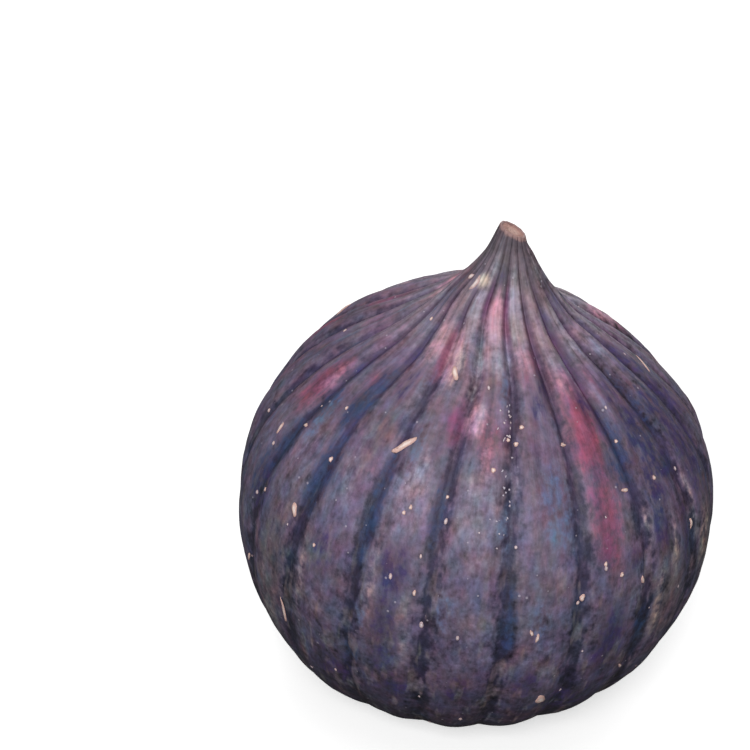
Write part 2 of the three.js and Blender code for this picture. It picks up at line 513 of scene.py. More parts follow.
@dataclass(frozen=True)
class StainPattern:
    """The coloured patches: those that show in front, and a random lot for the hidden side.

    Attributes:
        hidden_from: degrees round the fig at which the random lot begins.
        hidden_to: degrees at which it ends.
        hidden_count: how many there are in it.
        weakest: least strength of one of them.
        seed: of the random lot.
        shown: by tint, each patch's degrees round, reach, width, height and strength.
    """

    hidden_from: float = 104.0
    hidden_to: float = 264.0
    hidden_count: int = 60
    weakest: float = 0.45
    seed: int = 5
    shown: tuple[tuple[Tint, tuple[Patch, ...]], ...] = (
        (Tint.RED, (
            (25.5, 57.5, 5.5, 5.5, 1.0), (25.5, 47.5, 4.0, 5.5, 0.8), (-78.0, 54.0, 4.5, 4.0, 0.9),
            (-38.0, 65.0, 2.6, 3.2, 1.0), (-8.5, 56.0, 3.4, 4.2, 0.55), (8.0, 65.5, 5.4, 2.4, 0.5),
            (43.0, 63.0, 4.4, 2.0, 0.4), (-43.0, 50.0, 4.0, 1.6, 0.4),
            (-60.0, 58.0, 3.5, 1.4, 0.45),
        )),
        (Tint.PINK, (
            (-77.0, 55.0, 3.4, 2.6, 0.35), (-8.5, 54.5, 2.8, 3.4, 0.3),
            (-32.0, 65.8, 4.6, 3.2, 1.0), (-9.5, 70.8, 6.2, 3.0, 1.0), (-12.0, 67.5, 4.0, 2.6, 0.6),
            (-27.0, 67.8, 4.0, 2.8, 0.55), (-14.0, 58.6, 5.0, 1.8, 0.6),
            (-45.5, 66.0, 4.6, 2.6, 0.8), (7.5, 66.6, 4.4, 1.8, 0.6), (25.0, 63.5, 5.0, 2.5, 0.4),
            (-27.5, 50.0, 3.5, 3.2, 0.35),
        )),
        (Tint.MAGENTA, (
            (-18.0, 72.8, 3.0, 2.6, 0.9), (36.0, 66.0, 3.0, 5.0, 0.6), (0.5, 71.0, 3.0, 4.6, 0.95),
            (-20.5, 58.0, 3.2, 2.8, 0.8), (31.0, 59.0, 4.0, 2.6, 0.5), (33.0, 61.6, 3.4, 2.2, 0.8),
            (15.5, 66.2, 3.2, 1.6, 0.8), (25.0, 43.5, 3.0, 2.2, 0.5),
        )),
        # The broad navy and violet patches from 46 to 74 degrees round, here and among the violet ones, make
        # the whole right flank darker; the navy one at -64 degrees darkens the left shoulder.
        (Tint.NAVY, (
            (-56.5, 56.0, 3.6, 3.8, 1.0), (-54.0, 46.6, 3.2, 4.4, 1.0),
            (-72.0, 44.0, 3.2, 5.5, 0.8), (-19.0, 47.5, 1.7, 4.5, 0.7), (1.5, 36.0, 1.7, 4.5, 0.6),
            (50.0, 49.3, 4.4, 1.6, 0.9), (47.0, 53.0, 5.0, 3.4, 0.75), (-35.5, 46.0, 2.2, 8.0, 0.6),
            (36.0, 31.5, 2.2, 3.0, 0.6), (-35.0, 27.0, 2.2, 2.2, 0.5), (31.5, 52.0, 2.6, 2.6, 0.6),
            (42.0, 47.0, 3.4, 4.0, 0.6), (55.0, 57.5, 3.0, 5.0, 0.6), (36.0, 53.5, 3.4, 4.6, 0.8),
            (68.0, 47.0, 5.0, 5.0, 0.55), (64.0, 55.0, 6.0, 5.5, 0.6), (-64.0, 71.0, 6.0, 4.0, 0.6),
            (-69.0, 52.4, 3.4, 2.4, 0.9), (-57.2, 59.0, 2.8, 2.4, 0.8),
            (-75.2, 40.7, 2.8, 3.4, 0.7),
        )),
        (Tint.SKY, (
            (11.8, 49.0, 4.4, 4.6, 0.55), (-66.0, 51.0, 2.4, 3.4, 0.5),
            (-30.0, 53.6, 2.0, 3.4, 0.5), (-4.0, 62.6, 2.6, 1.8, 0.75),
            (-14.0, 36.5, 2.4, 3.0, 0.45), (8.5, 36.0, 2.0, 2.4, 0.45),
            (-39.5, 61.8, 2.2, 1.6, 0.5), (-33.4, 33.5, 1.4, 2.4, 0.5), (-1.5, 46.0, 2.0, 3.2, 0.4),
        )),
        (Tint.VIOLET, (
            (-27.5, 32.0, 3.4, 8.5, 0.5), (27.0, 31.0, 3.6, 4.4, 0.8), (42.0, 42.6, 2.6, 3.2, 0.8),
            (30.5, 59.4, 2.6, 2.2, 0.6), (7.0, 27.0, 3.0, 2.4, 0.6), (-9.0, 25.0, 2.6, 2.6, 0.6),
            (-45.5, 38.5, 3.0, 2.8, 0.5), (15.0, 63.0, 3.2, 2.0, 0.7), (62.0, 50.0, 5.0, 7.0, 0.75),
            (-55.0, 63.5, 2.4, 3.0, 0.5), (34.0, 58.0, 3.4, 2.0, 0.6), (32.0, 41.2, 2.6, 1.2, 0.5),
            (-24.0, 24.0, 3.4, 2.6, 0.5), (-10.0, 75.8, 9.0, 1.6, 0.45),
            (37.0, 68.5, 3.0, 6.0, 0.55), (48.0, 58.0, 6.0, 6.0, 0.55),
            (46.0, 50.0, 8.0, 5.0, 0.55), (74.0, 56.0, 9.0, 9.0, 0.6), (10.0, 60.0, 3.4, 2.4, 0.45),
            (-45.0, 60.0, 3.4, 2.4, 0.45), (-27.0, 40.0, 3.4, 2.8, 0.75),
            (-71.0, 58.5, 2.8, 5.0, 0.45), (-72.0, 39.0, 4.0, 2.8, 0.5),
            (36.0, 73.0, 5.0, 3.0, 0.35), (-40.0, 23.0, 6.0, 3.6, 0.4),
            (20.0, 22.0, 7.0, 3.6, 0.45), (63.0, 71.5, 7.0, 3.6, 0.55), (51.0, 42.0, 1.8, 5.5, 0.7),
        )),
        (Tint.PALE, (
            (8.5, 72.6, 5.8, 4.0, 1.0), (27.0, 70.5, 5.4, 5.4, 0.45), (-27.0, 71.3, 4.0, 3.8, 0.7),
            (-9.0, 47.0, 5.4, 6.0, 0.6), (-27.5, 48.5, 5.0, 4.6, 0.6), (47.0, 67.0, 4.0, 4.4, 0.35),
            (64.0, 65.0, 4.0, 3.4, 0.2), (-8.0, 34.0, 6.0, 6.0, 0.3), (9.0, 33.0, 5.4, 8.0, 0.3),
            (-45.0, 48.0, 4.0, 6.0, 0.35), (33.0, 37.6, 4.0, 3.4, 0.35),
            (-63.0, 47.0, 4.4, 5.0, 0.3), (-8.5, 71.0, 4.4, 3.4, 0.35),
            (-62.0, 38.5, 3.2, 4.6, 0.35), (62.0, 37.0, 3.6, 4.6, 0.7), (52.0, 31.5, 3.0, 4.0, 0.5),
            (-63.0, 24.5, 3.0, 3.4, 0.6), (0.5, 51.0, 2.0, 2.6, 0.5), (-18.0, 65.5, 3.4, 4.6, 0.7),
            (-9.0, 65.5, 4.0, 2.4, 0.6), (-25.0, 76.8, 7.0, 1.6, 0.6), (0.0, 67.0, 2.6, 4.0, 0.35),
            (54.0, 76.5, 6.0, 2.0, 0.6), (-45.0, 33.0, 3.4, 4.6, 0.3), (44.0, 52.5, 1.2, 3.0, 0.5),
            (33.0, 64.0, 1.2, 5.0, 0.5), (52.0, 66.0, 1.4, 5.0, 0.5),
        )),
        (Tint.TAUPE, (
            (-61.5, 31.0, 4.8, 7.5, 0.9), (45.0, 34.0, 5.4, 6.5, 0.8), (12.0, 62.0, 4.0, 3.0, 0.6),
            (-11.0, 63.0, 4.0, 2.4, 0.5), (-10.0, 76.4, 11.0, 1.9, 0.9),
            (-43.0, 53.0, 3.4, 4.0, 0.5), (63.0, 36.5, 5.0, 5.0, 0.9), (-64.0, 24.0, 5.0, 4.0, 0.8),
        )),
        (Tint.CREAM, (
            (-33.0, 74.7, 8.0, 0.8, 0.95), (-28.5, 64.4, 3.0, 2.4, 0.55),
            (62.0, 37.0, 3.4, 4.6, 0.3), (-63.0, 24.5, 3.0, 3.4, 0.2), (-31.5, 38.0, 1.7, 6.0, 0.2),
            (-22.6, 32.5, 1.6, 5.0, 0.15), (-50.0, 34.0, 1.6, 6.5, 0.22),
            (41.0, 36.0, 1.4, 6.0, 0.26), (38.0, 45.5, 1.2, 4.2, 0.3), (45.8, 40.5, 1.4, 5.0, 0.25),
            (56.0, 43.5, 1.3, 5.0, 0.26),
        )),
    )

    def hidden(self) -> list[Stain]:
        """Draws the patches of the side that is turned away.

        Returns:
            The patches, the same in each run.
        """
        dice = np.random.default_rng(self.seed)
        kinds = (
            (Tint.RED, (42.0, 66.0), (2.6, 5.0), (2.0, 5.5), 0.17),
            (Tint.PINK, (56.0, 72.0), (3.0, 5.5), (1.8, 3.8), 0.10),
            (Tint.MAGENTA, (42.0, 72.0), (2.4, 4.4), (2.0, 3.6), 0.10),
            (Tint.NAVY, (27.0, 58.0), (1.8, 3.6), (2.4, 5.5), 0.16),
            (Tint.SKY, (33.0, 63.0), (1.8, 3.4), (2.0, 3.6), 0.12),
            (Tint.VIOLET, (24.0, 60.0), (2.4, 3.8), (2.2, 6.5), 0.15),
            (Tint.PALE, (34.0, 72.0), (4.0, 6.0), (3.5, 7.0), 0.13),
            (Tint.TAUPE, (28.0, 63.0), (3.5, 5.4), (3.0, 7.0), 0.07),
        )
        chances = np.array([kind[-1] for kind in kinds])
        stains = []
        for pick in dice.choice(len(kinds), self.hidden_count, p=chances / chances.sum()):
            tint, reaches, widths, heights, _ = kinds[pick]
            stains.append(Stain(
                tint,
                dice.uniform(self.hidden_from, self.hidden_to),
                dice.uniform(*reaches),
                dice.uniform(*widths),
                dice.uniform(*heights),
                dice.uniform(self.weakest, 1.0),
            ))
        return stains

    def masks(self, angle: np.ndarray, reach: np.ndarray) -> dict[str, np.ndarray]:
        """Adds the patches up into the attributes that the finish reads.

        Args:
            angle: even radians round the fig.
            reach: up the skin.

        Returns:
            For each attribute three numbers a point.
        """
        degrees = np.degrees(angle)
        masks = {name: np.zeros(angle.shape + (3,)) for name in sorted({t.value[0] for t in Tint})}
        shown = [Stain(tint, *patch) for tint, patches in self.shown for patch in patches]
        for stain in (*shown, *self.hidden()):
            name, part = stain.tint.value
            layer = masks[name][..., part]
            np.maximum(layer, stain.at(degrees, reach), out=layer)
        return masks


class Wiring:
    """Adds nodes to a tree and joins them up."""

    def __init__(self, tree: bpy.types.NodeTree) -> None:
        """Keeps the tree.

        Args:
            tree: the shader or geometry tree to add to.
        """
        self.tree = tree

    def node(
        self, kind: str, inputs: dict[str | int, object] | None = None, **settings: object
    ) -> bpy.types.Node:
        """Adds a node.

        Args:
            kind: its type, such as ShaderNodeMath.
            inputs: constants or sockets for its inputs, by name or number.
            **settings: properties of the node.

        Returns:
            The node.
        """
        node = self.tree.nodes.new(kind)
        for name, value in settings.items():
            setattr(node, name, value)
        for name, value in (inputs or {}).items():
            self.feed(node.inputs[name], value)
        return node

    def feed(self, socket: Socket, value: object) -> None:
        """Links a socket to another, or sets its constant."""
        if isinstance(value, Socket):
            self.tree.links.new(value, socket)
        else:
            socket.default_value = value

    def math(self, operation: str, *values: object, clamp: bool = False) -> Socket:
        """Adds a Math node and returns its result."""
        node = self.node("ShaderNodeMath", dict(enumerate(values)), operation=operation, use_clamp=clamp)
        return node.outputs[0]

    def times(self, value: object, *factors: object) -> object:
        """Multiplies numbers, from left to right."""
        for factor in factors:
            value = self.math("MULTIPLY", value, factor)
        return value

    def plus(self, value: object, *others: object) -> object:
        """Adds numbers, from left to right."""
        for other in others:
            value = self.math("ADD", value, other)
        return value

    def minus(self, value: object, other: object) -> Socket:
        """Takes the second number from the first."""
        return self.math("SUBTRACT", value, other)

    def swing(self, noise: object, amount: float) -> object:
        """Turns a value round 0.5 into a swing either way of 0, of the amount times its own."""
        return self.times(self.minus(noise, 0.5), amount)

    def combine(self, x: object, y: object, z: object) -> Socket:
        """Makes a vector of three numbers."""
        return self.node("ShaderNodeCombineXYZ", {0: x, 1: y, 2: z}).outputs[0]

    def triple(self, value: object) -> Socket:
        """Makes a vector that is one number three times."""
        return self.combine(value, value, value)

    def split(self, vector: object) -> bpy.types.bpy_prop_collection:
        """Takes a vector apart into its three numbers."""
        return self.node("ShaderNodeSeparateXYZ", {0: vector}).outputs

    def object_place(self) -> Socket:
        """Reads the Object coordinates."""
        return self.node("ShaderNodeTexCoord").outputs["Object"]

    def bump(self, strength: float, distance: float, height: object) -> Socket:
        """Turns a height into a normal, for a distance in millimetres."""
        inputs = {"Strength": strength, "Distance": distance * MM, "Height": height}
        return self.node("ShaderNodeBump", inputs).outputs[0]

    def dress(self, shader: bpy.types.Node, colour: object, roughness: object, normal: object) -> None:
        """Gives a shader its colour, roughness and normal."""
        for name, value in (("Base Color", colour), ("Roughness", roughness), ("Normal", normal)):
            self.feed(shader.inputs[name], value)

    def vector(self, operation: str, *values: object) -> Socket:
        """Adds a Vector Math node and returns its vector."""
        return self.node("ShaderNodeVectorMath", dict(enumerate(values)), operation=operation).outputs[0]

    def noise(
        self, vector: object, scale: float, detail: float = 2.0, rough: float = 0.55
    ) -> Socket:
        """Adds a noise and returns its value.

        Args:
            vector: where it is read.
            scale: features in one unit.
            detail: octaves.
            rough: how much the finer ones count.

        Returns:
            A value round 0.5.
        """
        inputs = {"Vector": vector, "Scale": scale, "Detail": detail, "Roughness": rough}
        return self.node("ShaderNodeTexNoise", inputs).outputs[0]

    def ease(
        self, value: object, low: float, high: float, to_low: float = 0.0, to_high: float = 1.0
    ) -> Socket:
        """Maps a range smoothly onto another and returns the result.

        Args:
            value: what to map.
            low: start of its range.
            high: end of its range.
            to_low: result at the start.
            to_high: result at the end.

        Returns:
            The mapped value.
        """
        inputs = {0: value, 1: low, 2: high, 3: to_low, 4: to_high}
        return self.node("ShaderNodeMapRange", inputs, interpolation_type="SMOOTHSTEP").outputs[0]

    def mix(self, share: object, base: object, over: object, blend: str = "MIX") -> Socket:
        """Mixes two colours.

        Args:
            share: how much of the second.
            base: first colour.
            over: second colour.
            blend: kind of mix.

        Returns:
            The mixed colour.
        """
        node = self.node("ShaderNodeMix", {0: share, 6: base, 7: over}, data_type="RGBA", blend_type=blend)
        return node.outputs[2]

    def ramp(
        self, value: object, stops: tuple[tuple[float, str], ...], length: float
    ) -> Socket:
        """Adds a colour ramp over a length.

        Args:
            value: the place along it, from 0 to 1.
            stops: places in millimetres and the colours there.
            length: millimetres that 1 stands for.

        Returns:
            The colour.
        """
        node = self.node("ShaderNodeValToRGB", {0: value})
        elements = node.color_ramp.elements
        while len(elements) < len(stops):
            elements.new(0.5)
        for element, (spot, code) in zip(elements, stops):
            element.position = spot / length
            element.color = paint(code)
        return node.outputs[0]

    def attribute(self, name: str) -> Socket:
        """Reads an attribute of the mesh as a vector."""
        return self.node("ShaderNodeAttribute", attribute_name=name).outputs["Vector"]

    def group(self, tree: bpy.types.NodeTree, **inputs: object) -> Socket:
        """Places a node group with its own values and returns its first output."""
        node = self.tree.nodes.new("ShaderNodeGroup")
        node.node_tree = tree
        for name, value in inputs.items():
            self.feed(node.inputs[name.replace("_", " ")], value)
        return node.outputs[0]


class SharedEffects:
    """Shader node groups that several finishes use, each built once."""

    cells_a_fibre: float = 0.32

    def __init__(self) -> None:
        """Builds the groups."""
        self.fibres = self._fibres()
        self.mottle = self._mottle()
        self.specks = self._specks()

    def _group(
        self, name: str, inputs: dict[str, object], output: str
    ) -> tuple[Wiring, dict[str, object], bpy.types.Node]:
        """Starts a group.

        Args:
            name: of the group.
            inputs: a starting number, or a tuple for a vector, by name.
            output: name of the value that it puts out.

        Returns:
            The wiring, the input sockets by name and the output node.
        """
        tree = bpy.data.node_groups.new(name, "ShaderNodeTree")
        for label, start in inputs.items():
            kind = "NodeSocketVector" if isinstance(start, tuple) else "NodeSocketFloat"
            socket = tree.interface.new_socket(label, in_out="INPUT", socket_type=kind)
            socket.default_value = start
        tree.interface.new_socket(output, in_out="OUTPUT", socket_type="NodeSocketFloat")
        wiring = Wiring(tree)
        entry = tree.nodes.new("NodeGroupInput")
        sockets = {label: entry.outputs[label] for label in inputs}
        return wiring, sockets, tree.nodes.new("NodeGroupOutput")

    def _fibres(self) -> bpy.types.NodeTree:
        """Builds streaks that run along the fibres, in an attribute's frame.

        Returns:
            The group, which puts out a value round 0.5.
        """
        w, given, end = self._group(
            "fig_fibres",
            {"Place": (0.0, 0.0, 0.0), "Count": 60.0, "Length": 3.0, "Contrast": 2.2, "Shift": 0.0},
            "Streaks",
        )
        across = w.times(given["Count"], self.cells_a_fibre)
        along = w.math("DIVIDE", 1.0, given["Length"])
        place = w.vector("MULTIPLY", given["Place"], w.combine(across, across, along))
        place = w.vector("ADD", place, w.triple(given["Shift"]))
        value = w.swing(w.noise(place, 1.0), given["Contrast"])
        w.feed(end.inputs[0], w.math("ADD", value, 0.5, clamp=True))
        return w.tree

    def _mottle(self) -> bpy.types.NodeTree:
        """Builds blotches of a size in millimetres, in Object coordinates.

        Returns:
            The group, which puts out a value from 0 to 1.
        """
        w, given, end = self._group(
            "fig_mottle", {"Place": (0.0, 0.0, 0.0), "Size": 3.0, "Contrast": 1.0, "Shift": 0.0}, "Blotches"
        )
        cells = w.math("DIVIDE", 1.0 / MM, given["Size"])
        place = w.vector("MULTIPLY", given["Place"], w.triple(cells))
        place = w.vector("ADD", place, w.triple(given["Shift"]))
        value = w.swing(w.noise(place, 1.0, 2.5, 0.6), given["Contrast"])
        w.feed(end.inputs[0], w.math("ADD", value, 0.5, clamp=True))
        return w.tree

    def _specks(self) -> bpy.types.NodeTree:
        """Builds scattered small dots, some larger than others.

        Returns:
            The group, which puts out 1 on a dot.
        """
        w, given, end = self._group(
            "fig_specks", {"Place": (0.0, 0.0, 0.0), "Spacing": 1.0, "Size": 0.2, "Share": 0.5}, "Dots"
        )
        scale = w.math("DIVIDE", 1.0 / MM, given["Spacing"])
        cells = w.node(
            "ShaderNodeTexVoronoi", {"Vector": given["Place"], "Scale": scale, "Randomness": 1.0}
        )
        draw = w.node("ShaderNodeSeparateColor", {0: cells.outputs["Color"]})
        size = w.times(given["Size"], w.plus(draw.outputs[1], 0.35))
        dot = w.math("SUBTRACT", 1.0, w.math("DIVIDE", cells.outputs["Distance"], size), clamp=True)
        there = w.math("LESS_THAN", draw.outputs[0], given["Share"])
        w.feed(end.inputs[0], w.times(w.ease(dot, 0.0, 0.5), there))
        return w.tree


@dataclass(frozen=True)
class SkinFields:
    """What the parts of the skin's finish read at each point.

    Attributes:
        place: object coordinates.
        around: place on the skin: the angle's cosine and sine, and the reach up the skin.
        across: the cosine by itself.
        along: the sine by itself.
        up: the reach by itself.
        blotches: blotches of about 2 mm.
        speckle: blotches of less than 1 mm.
        strands: broad streaks along the fibres.
        streaks: finer ones.
        hairs: the finest ones.
        grain: a swing either way of 0, of all of these.
    """

    place: object
    around: object
    across: object
    along: object
    up: object
    blotches: object
    speckle: object
    strands: object
    streaks: object
    hairs: object
    grain: object


@dataclass(frozen=True)
class SkinFinish:
    """Ripe dark skin: bloom on the rib crests, dark grooves, stains, fibres and specks.

    The crest and groove colours stand beside the reach at which each is met. A range has
    its start and its end, and then the results there where they aren't 0 and 1. A ring of
    the eye has the reach of its middle, its half width and its share. A hue has its swings
    of red, green and blue, the size of its blotches, and its streaks' count, length and shift.
    """

    crest: tuple[tuple[float, str], ...] = (
        (0.0, "302b36"), (13.0, "322d3b"), (20.0, "433d51"), (27.0, "575069"), (36.0, "655d75"),
        (46.0, "71657d"), (55.0, "6b5d73"), (63.0, "806f85"), (71.0, "948390"), (76.0, "746570"),
        (79.5, "61545d"),
    )
    groove: tuple[tuple[float, str], ...] = (
        (0.0, "2a2731"), (13.0, "2a2732"), (24.0, "2c2b3f"), (36.0, "333349"), (48.0, "423d58"),
        (60.0, "483c55"), (68.0, "594761"), (75.0, "564658"), (79.5, "4f444d"),
    )
    red: str = "914764"
    pink: str = "d39cb0"
    magenta: str = "784468"
    navy: str = "2f3e60"
    sky: str = "5c6a89"
    violet: str = "392d57"
    pale: str = "aaa1af"
    pale_low: str = "79718a"
    taupe: str = "6a5f66"
    cream: str = "e8cbbb"
    fleck: str = "c6bccb"
    tan: str = "ac8a86"
    dust: str = "80767c"
    eye_bloom: str = "7d7288"
    eye_shade: str = "4a4156"
    eye_dark: str = "2b2532"
    eye_rings: tuple[tuple[float, float, float], ...] = ((-4.6, 0.9, 0.65), (-6.9, 0.5, 0.6))
    eye_star: Range = (-2.0, 3.5, 1.0, 0.0)
    eye_streaks: Range = (0.62, 0.3, 0.0, 0.7)
    hues: tuple[tuple[Range, float, float, float, float], ...] = (
        ((0.30, -0.28, -0.12), 4.2, 64.0, 2.6, 11.0), ((-0.30, 0.02, 0.32), 2.8, 52.0, 3.0, 23.0),
    )
    hue_calm: Range = (56.0, 72.0, 0.6, 0.25)
    grain_calm: Range = (58.0, 70.0, 1.0, 0.4)
    relief_calm: Range = (54.0, 68.0, 1.0, 0.2)
    low_down: Range = (42.0, 22.0)
    right_side: Range = (0.5, 0.85)
    hair_strength: Range = (40.0, 66.0, 0.26, 0.045)
    band_strength: Range = (46.0, 60.0, 0.65, 1.0)
    pale_up: Range = (40.0, 64.0)
    dust_strands: Range = (0.56, 0.86, 0.0, 0.5)
    dust_up: Range = (48.0, 36.0)
    groove_cover: Range = (44.0, 60.0, 0.7, 0.1)
    groove_stray: Range = (50.0, 66.0, 0.22, 0.08)
    groove_width: Range = (50.0, 70.0, 0.62, 0.92)
    groove_edge: Range = (0.0, 0.9)
    groove_end: Range = (71.0, 77.0, 1.0, 0.3)
    crease_width: Range = (0.0, 0.3, 1.0, 0.0)
    crease_up: Range = (52.0, 64.0)
    crease_strands: Range = (0.5, 0.8, 0.0, 0.3)
    stain_fray: Range = (0.0, 0.4, 0.0, 1.2)
    stain_edge: Range = (-0.05, 1.0)
    stain_share: float = 0.85
    fleck_share: float = 0.5
    tan_from: float = 0.4
    tan_to: float = 0.05
    tan_share: float = 0.85
    roughness: float = 0.58
    shine: float = 0.3
    relief: float = 0.2

    def build(self, form: FigForm, length: float, effects: SharedEffects) -> bpy.types.Material:
        """Builds the material.

        Args:
            form: the fig's form, for its number of ribs.
            length: of the outline, from the resting ring to the cut.
            effects: the shared node groups.

        Returns:
            The material.
        """
        material, w, shader = new_material("fig_skin")
        skin = self._fields(w, effects)
        colour = self._ground(w, skin, form, length)
        colour = w.vector("MULTIPLY", colour, self._shade(w, effects, skin))
        dots = w.group(effects.specks, Place=skin.place, Spacing=1.1, Size=0.14, Share=0.3)
        colour = w.mix(w.times(dots, self.fleck_share), colour, paint(self.fleck))
        frayed = w.plus(skin.up, w.times(skin.grain, 1.5))
        rim = w.ease(frayed, length - self.tan_from, length - self.tan_to)
        colour = w.mix(w.times(rim, self.tan_share), colour, paint(self.tan))
        colour = self._eye(w, skin, colour)

        relief = w.plus(w.times(skin.streaks, 0.3), w.times(skin.hairs, 0.2))
        relief = w.times(relief, w.ease(skin.up, *self.relief_calm))
        relief = w.plus(relief, w.times(skin.speckle, 0.35), w.times(dots, 0.25))
        roughness = w.plus(self.roughness, w.swing(skin.blotches, 0.25))
        w.dress(shader, colour, roughness, w.bump(0.5, self.relief, relief))
        w.feed(shader.inputs["Specular IOR Level"], self.shine)
        return material

    def _fields(self, w: Wiring, effects: SharedEffects) -> SkinFields:
        """Sets up the noises that break up the skin's colours.

        Args:
            w: the material's wiring.
            effects: the shared node groups.

        Returns:
            The fields.
        """
        place, around = w.object_place(), w.attribute("skin_map")
        across, along, up = w.split(around)
        blotches = w.group(effects.mottle, Place=place, Size=1.9, Contrast=2.2, Shift=7.0)
        speckle = w.group(effects.mottle, Place=place, Size=0.7, Contrast=2.2, Shift=3.0)
        strands = w.group(effects.fibres, Place=around, Count=60.0, Length=4.5, Shift=9.0)
        streaks = w.group(effects.fibres, Place=around, Count=100.0, Length=1.7)
        hairs = w.group(effects.fibres, Place=around, Count=240.0, Length=0.8, Shift=5.0)
        finer = w.plus(w.swing(speckle, 0.35), w.swing(streaks, 0.5))
        grain = w.times(w.plus(w.swing(blotches, 0.4), finer), w.ease(up, *self.grain_calm))
        return SkinFields(place, around, across, along, up, blotches, speckle, strands, streaks, hairs, grain)

    def _ground(self, w: Wiring, skin: SkinFields, form: FigForm, length: float) -> object:
        """Lays the colours of ribs and grooves, the stains on them and dust low down.

        Args:
            w: the material's wiring.
            skin: the fields.
            form: the fig's form.
            length: of the outline.

        Returns:
            The colour.
        """
        reach = w.math("DIVIDE", skin.up, length, clamp=True)
        turns = w.times(w.math("ARCTAN2", skin.along, skin.across), form.ribs / (2.0 * math.pi))
        groove = self._groove(w, skin, turns)
        colour = w.mix(groove, w.ramp(reach, self.crest, length), w.ramp(reach, self.groove, length))
        cover = w.minus(1.0, w.times(groove, w.ease(skin.up, *self.groove_cover)))
        bloom = w.mix(w.ease(skin.up, *self.pale_up), paint(self.pale_low), paint(self.pale))
        warm = (paint(self.red), paint(self.pink), paint(self.magenta))
        pale = (bloom, paint(self.taupe), paint(self.cream))
        cool = (paint(self.navy), paint(self.sky), paint(self.violet))
        colour = self._stain(w, colour, "stain_warm", warm, w.times(skin.grain, 0.7), cover)
        colour = self._stain(w, colour, "stain_bloom", pale, skin.grain, cover)
        colour = self._stain(w, colour, "stain_cool", cool, w.times(skin.grain, 1.5), None)
        dusty = w.times(w.ease(skin.strands, *self.dust_strands), w.ease(skin.up, *self.dust_up))
        return w.mix(dusty, colour, paint(self.dust))

    def _shade(self, w: Wiring, effects: SharedEffects, skin: SkinFields) -> object:
        """Makes the skin lighter and darker in blotches, hairs and bands, and varies its hue.

        Args:
            w: the material's wiring.
            effects: the shared node groups.
            skin: the fields.

        Returns:
            Factors for red, green and blue, round 1.
        """
        low = w.ease(skin.up, *self.low_down)
        side = w.ease(skin.along, *self.right_side)
        patchy = w.plus(1.0, w.plus(w.times(low, 0.75), w.times(side, 0.9)))
        blotches = w.plus(w.swing(skin.blotches, 0.44), w.swing(skin.speckle, 0.44))
        hair = w.plus(w.swing(skin.streaks, 1.5), w.swing(skin.hairs, 1.2))
        hair = w.times(w.ease(skin.up, *self.hair_strength), hair)
        bands = w.group(effects.fibres, Place=skin.around, Count=44.0, Length=9.0, Contrast=2.4, Shift=31.0)
        banding = w.times(w.swing(bands, 0.6), w.ease(skin.up, *self.band_strength))
        shade = w.plus(w.times(blotches, patchy), hair, banding, 1.0)
        return w.vector("MULTIPLY", w.triple(shade), self._hues(w, effects, skin))

    def _groove(self, w: Wiring, skin: SkinFields, turns: object) -> object:
        """Finds the grooves between the ribs, with edges that fray into the ribs.

        Args:
            w: the material's wiring.
            skin: the fields.
            turns: ribs round the fig.

        Returns:
            1 in a groove and 0 on a rib.
        """
        stray = w.times(w.swing(skin.strands, 1.0), w.ease(skin.up, *self.groove_stray))
        wave = w.math("ABSOLUTE", w.math("SINE", w.times(w.plus(turns, stray), math.pi)))
        frayed = w.plus(wave, w.times(skin.grain, 0.5))
        width = w.ease(skin.up, *self.groove_width)
        groove = w.math("SUBTRACT", 1.0, w.math("DIVIDE", frayed, width), clamp=True)
        split = w.math("ABSOLUTE", w.math("COSINE", w.times(turns, math.pi)))
        crease = w.times(w.ease(split, *self.crease_width), w.ease(skin.up, *self.crease_up))
        crease = w.times(crease, w.ease(skin.strands, *self.crease_strands))
        both = w.math("MAXIMUM", w.ease(groove, *self.groove_edge), crease)
        return w.times(both, w.ease(skin.up, *self.groove_end))

    def _hues(self, w: Wiring, effects: SharedEffects, skin: SkinFields) -> object:
        """Lets the skin wander between rose, violet, blue and grey all over.

        Args:
            w: the material's wiring.
            effects: the shared node groups.
            skin: the fields.

        Returns:
            Factors for red, green and blue, round 1.
        """
        calm = w.ease(skin.up, *self.hue_calm)
        factors = (1.0, 1.0, 1.0)
        for swing, size, count, long, shift in self.hues:
            patch = w.group(effects.mottle, Place=skin.place, Size=size, Contrast=2.4, Shift=shift)
            streak = w.group(
                effects.fibres, Place=skin.around, Count=count, Length=long, Contrast=2.4, Shift=shift
            )
            amount = w.plus(w.swing(patch, 0.6), w.times(w.swing(streak, 1.0), calm))
            factors = w.vector("ADD", factors, w.vector("MULTIPLY", swing, w.triple(amount)))
        return factors

    def _stain(
        self,
        w: Wiring,
        colour: object,
        attribute: str,
        paints: tuple[object, object, object],
        grain: object,
        cover: object | None,
    ) -> object:
        """Lays three stains over a colour, with ragged edges.

        Args:
            w: the material's wiring.
            colour: what is below.
            attribute: name of the attribute that holds the three masks.
            paints: their colours.
            grain: added to the masks, to break them up.
            cover: share to which the stains show, or None for all of it.

        Returns:
            The colour with the stains on it.
        """
        for mask, stain in zip(w.split(w.attribute(attribute)), paints):
            ragged = w.plus(mask, w.times(grain, w.ease(mask, *self.stain_fray)))
            share = w.times(w.ease(ragged, *self.stain_edge), self.stain_share)
            if cover is not None:
                share = w.times(share, cover)
            colour = w.mix(share, colour, stain)
        return colour

